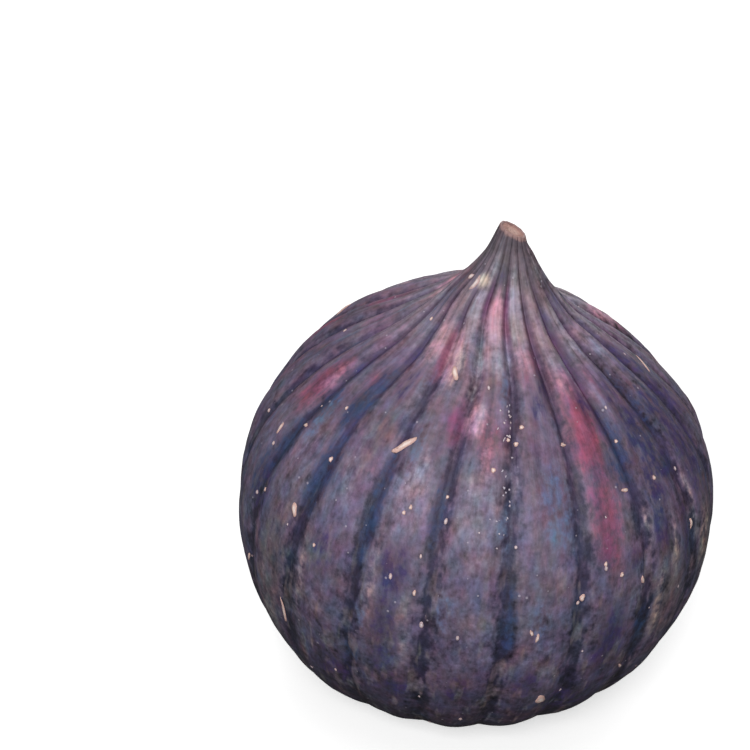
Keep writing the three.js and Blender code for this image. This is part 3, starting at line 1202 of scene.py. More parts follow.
    def _eye(self, w: Wiring, skin: SkinFields, colour: object) -> object:
        """Lays the star of pale bloom and the dark rings round the eye underneath.

        Args:
            w: the material's wiring.
            skin: the fields.
            colour: what is below.

        Returns:
            The colour with the eye's bloom on it.
        """
        ray = w.plus(w.swing(skin.strands, 6.0), w.swing(skin.streaks, 3.5))
        star = w.ease(w.plus(skin.up, ray), *self.eye_star)
        colour = w.mix(w.times(star, 0.8), colour, paint(self.eye_bloom))
        shade = w.times(star, w.ease(skin.streaks, *self.eye_streaks))
        colour = w.mix(shade, colour, paint(self.eye_shade))
        frayed = w.plus(skin.up, w.times(ray, 0.22))
        for middle, width, share in self.eye_rings:
            away = w.math("ABSOLUTE", w.minus(frayed, middle))
            ring = w.ease(away, width * 0.35, width, share, 0.0)
            colour = w.mix(ring, colour, paint(self.eye_dark))
        return colour


def new_material(name: str) -> tuple[bpy.types.Material, Wiring, bpy.types.Node]:
    """Starts a material with one Principled shader.

    Args:
        name: of the material.

    Returns:
        The material, its wiring and the shader.
    """
    material = bpy.data.materials.new(name)
    material.use_nodes = True
    material.node_tree.nodes.clear()
    w = Wiring(material.node_tree)
    shader = w.node("ShaderNodeBsdfPrincipled")
    w.node("ShaderNodeOutputMaterial", {"Surface": shader.outputs[0]})
    return material, w, shader


@dataclass(frozen=True)
class MarkFinish:
    """Pale peach cork of the lenticels and healed splits, whiter on the small ones."""

    peach: str = "d8b0a6"
    peach_core: str = "f9e6de"
    bone: str = "aea3b3"
    bone_core: str = "dcd6e2"
    rim: str = "92757e"
    roughness: float = 0.7
    relief: float = 0.1

    def build(self, effects: SharedEffects) -> bpy.types.Material:
        """Builds the material.

        Args:
            effects: the shared node groups.

        Returns:
            The material.
        """
        material, w, shader = new_material("fig_marks")
        place = w.object_place()
        out, whiteness, _ = w.split(w.attribute("mark_map"))
        patches = w.group(effects.mottle, Place=place, Size=6.0, Contrast=3.4, Shift=2.0)
        white = w.times(whiteness, w.ease(patches, 0.2, 0.8, 0.5, 1.0))
        grain = w.group(effects.mottle, Place=place, Size=0.28, Contrast=1.8)
        out = w.plus(out, w.swing(grain, 0.35))
        core = w.mix(white, paint(self.peach_core), paint(self.bone_core))
        body = w.mix(white, paint(self.peach), paint(self.bone))
        colour = w.mix(w.ease(out, 0.1, 0.8), core, body)
        colour = w.mix(w.ease(out, 0.88, 1.25), colour, paint(self.rim))
        w.dress(shader, colour, self.roughness, w.bump(0.5, self.relief, grain))
        return material


@dataclass(frozen=True)
class CutFinish:
    """Dried end of the stalk: pinkish tan, with a darker ring of strands and a pale pith."""

    tan: str = "c09489"
    ring: str = "a07673"
    pith: str = "cfaba0"
    ring_out: float = 0.68
    roughness: float = 0.8
    relief: float = 0.15

    def build(self, effects: SharedEffects, radius: float) -> bpy.types.Material:
        """Builds the material.

        Args:
            effects: the shared node groups.
            radius: of the cut, in millimetres.

        Returns:
            The material.
        """
        material, w, shader = new_material("fig_stalk_cut")
        place = w.object_place()
        grain = w.group(effects.mottle, Place=place, Size=0.35, Contrast=2.0)
        dots = w.group(effects.specks, Place=place, Spacing=0.3, Size=0.5, Share=0.6)
        out = w.times(w.split(w.attribute("cut_map"))[0], 1.0 / radius)
        colour = w.mix(w.ease(out, 0.25, 0.6), paint(self.pith), paint(self.tan))
        ring = w.ease(w.math("ABSOLUTE", w.minus(out, self.ring_out)), 0.05, 0.2, 0.8, 0.0)
        strands = w.times(ring, w.math("ADD", dots, 0.35, clamp=True))
        colour = w.mix(strands, colour, paint(self.ring))
        colour = w.mix(w.ease(grain, 0.55, 0.9, 0.0, 0.6), colour, paint(self.ring))
        w.dress(shader, colour, self.roughness, w.bump(0.6, self.relief, grain))
        return material


@dataclass(frozen=True)
class ScaleFinish:
    """Dry scales of the eye: brownish pink, mottled with a paler dusty pink and flecked darker."""

    brown: str = "7d5c56"
    dusty: str = "a38d94"
    dark: str = "43302f"
    roughness: float = 0.75
    relief: float = 0.15

    def build(self, effects: SharedEffects) -> bpy.types.Material:
        """Builds the material.

        Args:
            effects: the shared node groups.

        Returns:
            The material.
        """
        material, w, shader = new_material("fig_eye_scales")
        place = w.object_place()
        grain = w.group(effects.mottle, Place=place, Size=0.5, Contrast=2.2)
        broad = w.group(effects.mottle, Place=place, Size=1.6, Contrast=2.0, Shift=4.0)
        colour = w.mix(broad, paint(self.brown), paint(self.dusty))
        colour = w.mix(w.ease(grain, 0.55, 0.9, 0.0, 0.8), colour, paint(self.dark))
        w.dress(shader, colour, self.roughness, w.bump(0.6, self.relief, grain))
        return material


def ring_angles(count: int) -> np.ndarray:
    """Gives the radians of evenly spaced points round a ring."""
    return np.arange(count) * 2.0 * np.pi / count


def closed_tube(rings: int, columns: int, start: int, ends: tuple[int, int]) -> list[Face]:
    """Joins rings of points into a tube, with a fan of triangles over each end.

    Args:
        rings: how many there are, one after another.
        columns: points in each.
        start: number of the first ring's first point.
        ends: numbers of the middle points before the first ring and after the last.

    Returns:
        The faces. They look outwards where the rings turn anticlockwise, seen from the last.
    """
    turn = [(i, (i + 1) % columns) for i in range(columns)]
    last = start + (rings - 1) * columns
    faces = []
    for ring in range(start, last, columns):
        faces += [(ring + a, ring + b, ring + b + columns, ring + a + columns) for a, b in turn]
    faces += [(start + b, start + a, ends[0]) for a, b in turn]
    return faces + [(last + a, last + b, ends[1]) for a, b in turn]


def mesh_piece(
    name: str,
    points: np.ndarray,
    faces: list[Face],
    material: bpy.types.Material,
    attributes: dict[str, np.ndarray] | None = None,
) -> bpy.types.Object:
    """Makes a smooth-shaded piece from points in millimetres.

    Args:
        name: of the piece.
        points: one a row.
        faces: point numbers, anticlockwise seen from outside.
        material: its finish.
        attributes: vectors, one a point, by name.

    Returns:
        The piece, with its place in its mesh.
    """
    mesh = bpy.data.meshes.new(name)
    mesh.from_pydata((np.asarray(points) * MM).tolist(), [], faces)
    for label, values in (attributes or {}).items():
        layer = mesh.attributes.new(label, "FLOAT_VECTOR", "POINT")
        layer.data.foreach_set("vector", np.ascontiguousarray(values, np.float32).ravel())
    mesh.materials.append(material)
    mesh.shade_smooth()
    piece = bpy.data.objects.new(name, mesh)
    bpy.context.scene.collection.objects.link(piece)
    return piece


def settle(piece: bpy.types.Object, slot: str, stands_for_fig: bool) -> None:
    """Ties a finished piece to the fig's body and logs what it is made of.

    Args:
        piece: the piece.
        slot: name of the record's material slot that it stands for, which only goes into the log.
        stands_for_fig: whether it takes the place of the solid.
    """
    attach(piece, BODY)
    if stands_for_fig:
        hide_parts(FIG_NODE)
    log.info("%s: %d faces, slot %s", piece.name, len(piece.data.polygons), slot)


@dataclass
class Skin:
    """The whole skin as one closed mesh, from the middle of the eye over the cut's rim.

    Attributes:
        surface: the skin's surface.
        stains: where its coloured patches are.
        columns: points round the fig.
        eye_rows: level lines from the middle of the eye to the resting ring's outer edge.
        rows: level lines from there to the edge of the cut.
        roll: share of the stalk's radius and drop below its top, for each line of the rim.
        roll_waves: waves of the rim, round it.
        roll_wave: height of one, as a share.
        middle_sunk: how far the skin's last point lies below the dish of the cut.
    """

    surface: Surface
    stains: StainPattern
    columns: int = 440
    eye_rows: int = 30
    rows: int = 188
    roll: tuple[tuple[float, float], ...] = ((0.95, -0.09), (0.86, -0.10), (0.78, 0.02), (0.72, 0.16))
    roll_waves: float = 9.0
    roll_wave: float = 0.02
    middle_sunk: float = 0.1

    def build(self, finish: SkinFinish, effects: SharedEffects) -> bpy.types.Object:
        """Builds the mesh and dresses it.

        Args:
            finish: of the skin.
            effects: the shared node groups.

        Returns:
            The piece.
        """
        form = self.surface.form
        inner = -form.rest_outer_radius * (1.0 - np.arange(1, self.eye_rows) / self.eye_rows)
        outer = np.linspace(0.0, self.surface.length, self.rows)
        reach = np.concatenate([inner, outer])
        angle = ring_angles(self.columns)
        angles, reaches = np.meshgrid(angle, reach)
        skin = self.surface.point(angles, reaches)
        rim = self._rim(angle)
        bottom = form.axis_point(float(form.eye_height(np.array(0.0), np.array(0.0))))
        top = form.axis_point(form.fig_height - form.cut_dish - self.middle_sunk)
        points = np.concatenate([np.concatenate([skin, rim]).reshape(-1, 3), [bottom, top]])
        flat_reach = np.concatenate([reaches, np.full(rim.shape[:2], self.surface.length)]).ravel()
        flat_angle = np.tile(angle, len(skin) + len(rim))
        count = len(flat_angle)
        faces = closed_tube(len(skin) + len(rim), self.columns, 0, (count, count + 1))
        skin_map = np.stack([np.cos(flat_angle), np.sin(flat_angle), flat_reach], -1)
        poles = np.array([[1.0, 0.0, -form.rest_outer_radius], [1.0, 0.0, self.surface.length]])
        attributes = {"skin_map": np.concatenate([skin_map, poles])}
        for label, mask in self.stains.masks(flat_angle, flat_reach).items():
            attributes[label] = np.concatenate([mask, np.zeros((2, 3))])
        material = finish.build(form, self.surface.length, effects)
        piece = mesh_piece("skin", points, faces, material, attributes)
        settle(piece, "skin", True)
        return piece

    def _rim(self, angle: np.ndarray) -> np.ndarray:
        """Rolls the skin over the edge of the cut.

        Args:
            angle: even radians round the fig.

        Returns:
            Level lines of points.
        """
        form = self.surface.form
        direction = form.uneven_angle(angle, np.full_like(angle, form.fig_height))
        lines = []
        for share, drop in self.roll:
            radius = form.stalk_radius * share * (1.0 + self.roll_wave * np.sin(self.roll_waves * angle))
            height = form.fig_height - drop - form.cut_slope() * radius * np.sin(direction)
            lines.append(form.place(radius, height, direction))
        return np.array(lines)


@dataclass
class StalkCut:
    """The dried cut end of the stalk: a dished disc with strands standing up round its pith.

    Attributes:
        surface: the skin's surface.
        share: of the stalk's radius that the disc takes.
        columns: points round it.
        rings: rings of points on its top.
        strands: waves of strands round the pith.
        strand_ring: share of the radius at which they stand.
        strand_width: share of the radius over which they fade.
        strand_height: their height.
        strand_least: share of it that is left between two.
        grain: height of the fine grain.
        dish: how far the middle is sunk.
        depth: of the disc's skirt, inside the stalk.
    """

    surface: Surface
    share: float = 0.8
    columns: int = 64
    rings: int = 9
    strands: int = 17
    strand_ring: float = 0.68
    strand_width: float = 0.11
    strand_height: float = 0.09
    strand_least: float = 0.35
    grain: float = 0.03
    dish: float = 0.16
    depth: float = 0.6

    def build(self, finish: CutFinish, effects: SharedEffects) -> bpy.types.Object:
        """Builds the mesh and dresses it.

        Args:
            finish: of the cut.
            effects: the shared node groups.

        Returns:
            The piece.
        """
        form = self.surface.form
        radius = form.stalk_radius * self.share
        shares = np.arange(1, self.rings + 1) / self.rings
        share, angle = np.meshgrid(shares, ring_angles(self.columns), indexing="ij")
        near = np.exp(-(((share - self.strand_ring) / self.strand_width) ** 2))
        wave = np.cos(self.strands * angle + 2.0 * np.sin(3.0 * angle)) ** 2
        bundles = near * (self.strand_least + (1.0 - self.strand_least) * wave)
        grain = self.grain * np.sin(23.0 * share + 3.0 * angle) * np.sin(5.0 * angle + 11.0 * share)
        lift = self.strand_height * bundles - self.dish * (1.0 - share**2) + grain
        top = self._disc(share * radius, lift, angle)
        skirt = self._disc(share[-1:] * radius, np.full((1, self.columns), -self.depth), angle[-1:])
        middle, below = (form.axis_point(form.fig_height - sunk) for sunk in (self.dish, self.depth))
        points = np.concatenate([[middle], top.reshape(-1, 3), skirt.reshape(-1, 3), [below]])
        downwards = closed_tube(self.rings + 1, self.columns, 1, (0, len(points) - 1))
        faces = [(face[0], *face[:0:-1]) for face in downwards]
        out = np.concatenate([[0.0], (share * radius).ravel(), np.full(self.columns, radius), [0.0]])
        cut_map = np.stack([out, np.zeros_like(out), np.zeros_like(out)], -1)
        material = finish.build(effects, form.stalk_radius)
        piece = mesh_piece("stalk_cut", points, faces, material, {"cut_map": cut_map})
        settle(piece, "stalk_cut", False)
        return piece

    def _disc(self, radius: np.ndarray, lift: np.ndarray, angle: np.ndarray) -> np.ndarray:
        """Places points of the disc on the slanted cut."""
        form = self.surface.form
        direction = angle + math.radians(form.first_groove)
        height = form.fig_height + lift - form.cut_slope() * radius * np.sin(direction)
        return form.place(radius, height, direction)


@dataclass(frozen=True)
class Mark:
    """One pale mark of the skin that stands out.

    Attributes:
        round_at: degrees round the fig from the first groove.
        reach: up the skin.
        long: its length.
        wide: its width.
        turn: degrees that its length is turned from straight up, towards +X.
        bend: how far its middle bows to one side.
        taper: share of its width that it loses towards its upper end.
        white: how whitish it is, from 0 for peach to 1.
    """

    round_at: float
    reach: float
    long: float
    wide: float
    turn: float = 0.0
    bend: float = 0.0
    taper: float = 0.0
    white: float = 0.0


@dataclass
class Marks:
    """The lenticels and healed splits that stand out, each a low pad draped on the skin.

    Attributes:
        surface: the skin's surface.
        height: of a pad over the skin.
        full_width: width from which a pad has its full height.
        sunk: how deep a pad's lowest point lies under the skin.
        sectors: points round a pad.
        rings: share of a pad's size and of its height, for each ring of points.
        crown: share of its height at its middle.
        edge_waves: waves round its edge, and their height as a share.
        seed: of the random numbers.
        sparkles: how many tiny whitish specks there are.
        sparkle_round: mean and spread of their degrees round the fig.
        sparkle_lots: mean and spread of their reach, for each lot.
        listed: the marks that the photograph shows, and some for the hidden side.
    """

    surface: Surface
    height: float = 0.10
    full_width: float = 0.6
    sunk: float = 0.12
    sectors: int = 16
    rings: tuple[tuple[float, float], ...] = ((0.5, 1.0), (0.82, 0.7), (1.0, -0.35))
    crown: float = 1.05
    edge_waves: tuple[tuple[float, float], ...] = ((3.0, 0.10), (5.0, 0.07))
    seed: int = 21
    sparkles: int = 34
    sparkle_round: tuple[float, float] = (-2.2, 1.9)
    sparkle_lots: tuple[tuple[float, float], ...] = ((58.5, 1.6), (49.5, 2.4))
    listed: tuple[Mark, ...] = (
        Mark(-28.9, 63.4, 2.0, 0.7, -28.0, 0.0, 0.15),
        Mark(-34.4, 53.7, 3.5, 0.85, 39.0, 0.08, 0.2),
        Mark(-42.6, 74.0, 2.2, 0.5, 4.0, 0.1, white=0.6),
        Mark(-77.8, 46.1, 1.7, 0.45, -6.0),
        Mark(-57.2, 40.9, 1.8, 0.75, -28.0),
        Mark(-56.2, 26.4, 4.2, 0.45, -6.0, 0.25),
        Mark(-54.4, 48.2, 0.7, 0.5),
        Mark(-63.0, 67.7, 0.5, 0.4),
        Mark(-55.6, 74.2, 0.9, 0.45, 20.0, white=0.6),
        Mark(-6.0, 53.1, 0.62, 0.55),
        Mark(0.8, 56.3, 0.6, 0.5),
        Mark(2.8, 58.2, 0.55, 0.5),
        Mark(-1.9, 56.7, 0.5, 0.45),
        Mark(17.3, 55.9, 0.55, 0.75),
        Mark(-17.5, 49.5, 0.45, 0.4),
        Mark(-26.2, 47.4, 0.6, 0.4),
        Mark(-27.6, 46.6, 0.5, 0.45),
        Mark(-21.2, 38.2, 0.8, 0.4, 4.0),
        Mark(-47.8, 38.9, 0.5, 0.4),
        Mark(6.6, 34.7, 0.9, 0.4, -24.0),
        Mark(8.1, 34.0, 1.3, 0.42, 8.0),
        Mark(12.1, 23.3, 2.0, 1.3, -8.0),
        Mark(18.5, 38.2, 1.0, 0.6, 12.0),
        Mark(28.2, 40.0, 0.6, 0.5),
        Mark(32.9, 49.1, 0.5, 1.2, 12.0),
        Mark(37.2, 54.5, 0.45, 0.4),
        Mark(44.1, 48.8, 0.6, 0.55),
        Mark(34.8, 38.2, 1.2, 0.5, -20.0),
        Mark(34.1, 25.6, 1.3, 0.42, -34.0),
        Mark(54.1, 40.8, 1.4, 0.4, 6.0, 0.3),
        Mark(83.7, 57.7, 3.0, 0.42, 40.0),
        Mark(23.8, 41.8, 0.6, 0.4),
        Mark(-70.0, 49.0, 1.0, 0.5, 70.0),
        Mark(-70.3, 39.6, 0.6, 0.5),
        Mark(-60.6, 53.8, 0.5, 0.45),
        Mark(-74.2, 28.2, 1.6, 0.5, 20.0),
        Mark(112.0, 44.0, 3.4, 0.7, 18.0, 0.2),
        Mark(150.0, 58.0, 1.8, 0.8, -20.0),
        Mark(196.0, 33.0, 4.6, 0.45, 8.0, -0.4),
        Mark(228.0, 52.0, 2.6, 0.8, -34.0),
        Mark(255.0, 27.0, 2.2, 0.5, 12.0),
        Mark(168.0, 46.0, 1.4, 0.6, 5.0),
        Mark(132.0, 22.0, 2.4, 0.5, -15.0),
    )

    def build(self, material: bpy.types.Material) -> bpy.types.Object:
        """Builds all the marks as one piece.

        Args:
            material: their finish.

        Returns:
            The piece.
        """
        dice = np.random.default_rng(self.seed)
        points, faces, maps = [], [], []
        start = 0
        for mark in (*self.listed, *self._sparkles(dice)):
            pad, out, pad_faces = self._pad(mark, dice.uniform(0.0, 2.0 * np.pi, 2))
            points.append(pad)
            maps.append(np.stack([out, np.full_like(out, mark.white), np.zeros_like(out)], -1))
            faces += [tuple(start + i for i in face) for face in pad_faces]
            start += len(pad)
        attributes = {"mark_map": np.concatenate(maps)}
        piece = mesh_piece("split_marks", np.concatenate(points), faces, material, attributes)
        settle(piece, "marks", False)
        return piece

    def _sparkles(self, dice: np.random.Generator) -> list[Mark]:
        """Draws the tiny whitish specks that lie in two lots along one groove.

        Args:
            dice: where the random numbers come from.

        Returns:
            The specks.
        """
        specks = []
        for number in range(self.sparkles):
            degrees = dice.normal(*self.sparkle_round)
            reach = dice.normal(*self.sparkle_lots[number % len(self.sparkle_lots)])
            long, wide = dice.uniform(0.2, 0.42), dice.uniform(0.14, 0.28)
            specks.append(Mark(degrees, reach, long, wide, dice.uniform(-40.0, 40.0), white=1.0))
        return specks

    def _pad(self, mark: Mark, phases: np.ndarray) -> tuple[np.ndarray, np.ndarray, list[Face]]:
        """Drapes one low closed pad on the skin.

        Args:
            mark: where and how large it is.
            phases: two random angles for its uneven edge.

        Returns:
            Its points, how far out in it each lies as a share, and its faces.
        """
        spin = ring_angles(self.sectors)
        edge = 1.0
        for (waves, height), phase in zip(self.edge_waves, phases):
            edge = edge + height * np.sin(waves * spin + phase)
        rings = [
            self._drape(mark, share * edge * np.sin(spin), share * edge * np.cos(spin), lift)
            for share, lift in self.rings
        ]
        centre = self._drape(mark, np.zeros(1), np.zeros(1), self.crown)
        under = self._drape(mark, np.zeros(1), np.zeros(1), -self.sunk / self.height)
        points = np.concatenate([centre, *rings, under])
        shares = [share for share, _ in self.rings]
        out = np.concatenate([[0.0], np.repeat(shares, self.sectors), [1.0]])
        return points, out, closed_tube(len(rings), self.sectors, 1, (0, len(points) - 1))

    def _drape(self, mark: Mark, across: np.ndarray, along: np.ndarray, lift: float) -> np.ndarray:
        """Puts points of a mark on the skin.

        Args:
            mark: the mark.
            across: shares of its half width.
            along: shares of its half length.
            lift: share of the marks' height over the skin.

        Returns:
            The points.
        """
        turn = math.radians(mark.turn)
        bow = mark.bend * (1.0 - along**2)
        side = across * mark.wide / 2.0 * (1.0 - mark.taper * along) + bow
        up = along * mark.long / 2.0
        reach = mark.reach + up * math.cos(turn) - side * math.sin(turn)
        radius = float(self.surface.radius(mark.reach))
        angle = math.radians(mark.round_at) + (up * math.sin(turn) + side * math.cos(turn)) / radius
        scale = min(1.0, mark.wide / self.full_width)
        normal = self.surface.normal(angle, reach)
        return self.surface.point(angle, reach) + normal * lift * self.height * scale


class GeometryTree:
    """Builds a Geometry Nodes tree with named inputs, and runs it once on a mesh."""

    def __init__(self, name: str, inputs: dict[str, float | int]) -> None:
        """Starts the tree.

        Args:
            name: of the tree.
            inputs: a starting number for each named input.
        """
        self.tree = bpy.data.node_groups.new(name, "GeometryNodeTree")
        self.tree.interface.new_socket("Geometry", in_out="INPUT", socket_type="NodeSocketGeometry")
        self.tree.interface.new_socket("Geometry", in_out="OUTPUT", socket_type="NodeSocketGeometry")
        self.names = {}
        for label, start in inputs.items():
            kind = "NodeSocketInt" if isinstance(start, int) else "NodeSocketFloat"
            socket = self.tree.interface.new_socket(label, in_out="INPUT", socket_type=kind)
            socket.default_value = start
            self.names[label] = socket.identifier
        self.wiring = Wiring(self.tree)
        entry = self.tree.nodes.new("NodeGroupInput")
        self.geometry = entry.outputs["Geometry"]
        self.given = {label: entry.outputs[label] for label in inputs}
        self.end = self.tree.nodes.new("NodeGroupOutput")

    def finish(self, instances: object, material: bpy.types.Material) -> None:
        """Ends the tree: realizes the instances and gives them their material."""
        w = self.wiring
        real = w.node("GeometryNodeRealizeInstances", {0: instances})
        smooth = w.node("GeometryNodeSetShadeSmooth", {0: real.outputs[0]})
        dressed = w.node("GeometryNodeSetMaterial", {0: smooth.outputs[0], "Material": material})
        w.feed(self.end.inputs[0], dressed.outputs[0])

    def bake(self, name: str, base: bpy.types.Mesh, values: dict[str, float | int]) -> bpy.types.Object:
        """Runs the tree on a copy of a mesh and keeps the result as a plain piece.

        Args:
            name: of the piece.
            base: mesh that the tree grows on.
            values: numbers for the named inputs.

        Returns:
            The piece.
        """
        holder = bpy.data.objects.new(name + "_base", base.copy())
        bpy.context.scene.collection.objects.link(holder)
        modifier = holder.modifiers.new("grow", "NODES")
        modifier.node_group = self.tree
        for label, value in values.items():
            modifier[self.names[label]] = value
        graph = bpy.context.evaluated_depsgraph_get()
        mesh = bpy.data.meshes.new_from_object(holder.evaluated_get(graph))
        mesh.name = name
        holder.modifiers.remove(modifier)
        bpy.data.objects.remove(holder)
        piece = bpy.data.objects.new(name, mesh)
        bpy.context.scene.collection.objects.link(piece)
        return piece


@dataclass
class Lenticels:
    """Small raised corky dots, scattered over the skin and drawn out along its fibres.

    Attributes:
        gap: least distance between two.
        density: how many there are on a square millimetre at most.
        least: radius of the smallest.
        most: radius of the largest.
        lowest: height over the base below which there are none.
        highest: height above which there are none.
        longest: how many times as long as wide a dot can be.
        flatness: its height as a share of its width.
        white: how whitish they are, from 0 for peach to 1.
        seed: of the random draws.
    """

    gap: float = 3.0
    density: float = 0.012
    least: float = 0.09
    most: float = 0.25
    lowest: float = 1.2
    highest: float = 50.0
    longest: float = 1.9
    flatness: float = 0.32
    white: float = 0.6
    seed: int = 8

    def build(self, skin: bpy.types.Object, material: bpy.types.Material) -> bpy.types.Object:
        """Grows the dots on the skin.

        Args:
            skin: the finished skin.
            material: the dots' finish.

        Returns:
            The piece.
        """
        values = {
            "Gap": self.gap * MM, "Density": self.density / MM**2, "Least": self.least * MM,
            "Most": self.most * MM, "Longest": self.longest, "Flatness": self.flatness,
            "White": self.white, "Lowest": self.lowest * MM, "Highest": self.highest * MM,
            "Seed": self.seed,
        }
        grow = GeometryTree("fig_lenticels", values)
        w, given = grow.wiring, grow.given
        position = w.node("GeometryNodeInputPosition").outputs[0]
        height = w.split(position)[2]
        above = w.math("GREATER_THAN", height, given["Lowest"])
        below = w.math("LESS_THAN", height, given["Highest"])
        spread = w.node("GeometryNodeDistributePointsOnFaces", {
            "Mesh": grow.geometry, "Selection": w.times(above, below),
            "Distance Min": given["Gap"], "Density Max": given["Density"], "Seed": given["Seed"],
        }, distribute_method="POISSON")
        upright = w.node("FunctionNodeAlignRotationToVector", {
            "Rotation": spread.outputs["Rotation"], "Vector": (0.0, 0.0, 1.0),
        }, axis="Y", pivot_axis="Z")
        size = self._draw(w, given["Least"], given["Most"], given["Seed"], 1.0)
        long = self._draw(w, 1.0, given["Longest"], given["Seed"], 2.0)
        flat = w.times(size, given["Flatness"])
        scale = w.combine(size, w.times(size, long), flat)
        ball = w.node("GeometryNodeMeshIcoSphere", {"Radius": 1.0, "Subdivisions": 2})
        flat_place = w.vector("MULTIPLY", position, (1.0, 1.0, 0.0))
        out = w.node("ShaderNodeVectorMath", {0: flat_place}, operation="LENGTH").outputs["Value"]
        dot = w.node("GeometryNodeStoreNamedAttribute", {
            "Geometry": ball.outputs["Mesh"], "Name": "mark_map",
            "Value": w.combine(out, given["White"], 0.0),
        }, data_type="FLOAT_VECTOR", domain="POINT")
        dots = w.node("GeometryNodeInstanceOnPoints", {
            "Points": spread.outputs["Points"], "Instance": dot.outputs[0],
            "Rotation": upright.outputs[0], "Scale": scale,
        })
        grow.finish(dots.outputs[0], material)
        piece = grow.bake("lenticels", skin.data, values)
        settle(piece, "marks", False)
        return piece

    def _draw(self, w: Wiring, least: object, most: object, seed: object, step: float) -> Socket:
        """Draws a random number between two, differently for each step of the seed."""
        inputs = {2: least, 3: most, "Seed": w.plus(seed, step)}
        return w.node("FunctionNodeRandomValue", inputs, data_type="FLOAT").outputs[1]


@dataclass
class EyeScales:
    """The small dry scales that close the eye, in rings that overlap like tiles.

    Attributes:
        form: the fig's form.
        rings: for each ring its count of scales, its radius, their length and the degrees
            that they tip.
        level: height of the first ring.
        step: how much higher each next ring lies.
        turn: radians that each next ring is turned.
        scale_rows: rows of faces along a scale.
        half_columns: columns of faces on each side of its middle.
        half_width: of a scale, as a share of its length, like all that follow.
        root_width: share of the width that it has at its root.
        least_width: half width at its tip.
        thickness: at its root.
        arch: how far its middle is arched.
        curl: how far its tip curls.
        scale_centre: where along it the point lies that it turns about.
    """

    form: FigForm
    rings: tuple[tuple[int, float, float, float], ...] = (
        (11, 2.4, 1.5, 16.0), (9, 1.6, 1.3, 26.0), (6, 0.8, 1.0, 40.0),
    )
    level: float = 0.66
    step: float = 0.13
    turn: float = 0.3
    scale_rows: int = 6
    half_columns: int = 3
    half_width: float = 0.52
    root_width: float = 0.35
    least_width: float = 0.02
    thickness: float = 0.14
    arch: float = 0.11
    curl: float = 0.12
    scale_centre: float = 0.45

    def build(self, material: bpy.types.Material) -> bpy.types.Object:
        """Grows the rings of scales.

        Args:
            material: their finish.

        Returns:
            The piece.
        """
        scale_mesh = self._scale()
        rings = [
            {
                "Count": count, "Radius": radius * MM, "Length": length * MM,
                "Tip": math.radians(tip), "Level": (self.level + number * self.step) * MM,
                "Turn": self.turn * number, "Shift": self.form.centring_shift * MM,
            }
            for number, (count, radius, length, tip) in enumerate(self.rings)
        ]
        grow = GeometryTree("fig_eye_ring", rings[0])
        w, given = grow.wiring, grow.given
        circle = w.node("GeometryNodeMeshCircle", {"Vertices": given["Count"], "Radius": given["Radius"]})
        position = w.node("GeometryNodeInputPosition").outputs[0]
        inward = w.vector("MULTIPLY", position, (-1.0, -1.0, -1.0))
        facing = w.node("FunctionNodeAlignRotationToVector", {"Vector": inward}, axis="Y", pivot_axis="Z")
        tipped = w.node("FunctionNodeRotateRotation", {
            "Rotation": facing.outputs[0], "Rotate By": w.combine(given["Tip"], 0.0, 0.0),
        }, rotation_space="LOCAL")
        ring = w.node("GeometryNodeInstanceOnPoints", {
            "Points": circle.outputs[0], "Instance": grow.geometry,
            "Rotation": tipped.outputs[0], "Scale": w.triple(given["Length"]),
        })
        moved = w.node("GeometryNodeTransform", {
            "Geometry": ring.outputs[0],
            "Translation": w.combine(given["Shift"], 0.0, given["Level"]),
            "Rotation": w.combine(0.0, 0.0, given["Turn"]),
        })
        grow.finish(moved.outputs[0], material)
        parts = [grow.bake(f"eye_ring_{i}", scale_mesh, values) for i, values in enumerate(rings)]
        piece = join("eye_scales", parts, material)
        settle(piece, "eye_scales", False)
        return piece

    def _scale(self) -> bpy.types.Mesh:
        """Makes one scale of unit length, which points along +Y and has a thin closed body.

        Returns:
            The mesh.
        """
        rows, half = self.scale_rows, self.half_columns
        points, faces = [], []
        for thickness in (0.0, self.thickness):
            for row in range(rows + 1):
                along = row / rows
                rise = math.sin(min(along * 2.5, 1.0) * math.pi / 2.0)
                root = self.root_width + (1.0 - self.root_width) * rise
                width = self.half_width * root * math.sqrt(max(0.0, 1.0 - along**2.4))
                for column in range(-half, half + 1):
                    side = column / half
                    hang = self.arch * (1.0 - side**2) + self.curl * along**2
                    thick = thickness * (1.0 - abs(side) * 0.75) * (1.0 - 0.7 * along)
                    across = side * max(width, self.least_width)
                    points.append((across, along - self.scale_centre, thick - hang))
        line = 2 * half + 1
        sheet = (rows + 1) * line
        for row in range(rows):
            for column in range(line - 1):
                a = row * line + column
                faces.append((a, a + line, a + line + 1, a + 1))
                b = sheet + a
                faces.append((b, b + 1, b + line + 1, b + line))
        border = list(range(line))
        border += [row * line + line - 1 for row in range(1, rows + 1)]
        border += [rows * line + i for i in range(line - 2, -1, -1)]
        border += [row * line for row in range(rows - 1, 0, -1)]
        for a, b in zip(border, border[1:] + border[:1]):
            faces.append((a, b, b + sheet, a + sheet))
        mesh = bpy.data.meshes.new("eye_scale")
        mesh.from_pydata(points, [], faces)
        return mesh


def join(name: str, parts: list[bpy.types.Object], material: bpy.types.Material) -> bpy.types.Object:
    """Joins pieces of one material into one.

    Args:
        name: of the result.
        parts: the pieces, which are removed.
        material: their finish.

    Returns:
        The joined piece.
    """
    points, faces, start = [], [], 0
    for part in parts:
        points += [tuple(v.co / MM) for v in part.data.vertices]
        faces += [tuple(start + i for i in p.vertices) for p in part.data.polygons]
        start = len(points)
        bpy.data.objects.remove(part)
    return mesh_piece(name, np.array(points), faces, material)


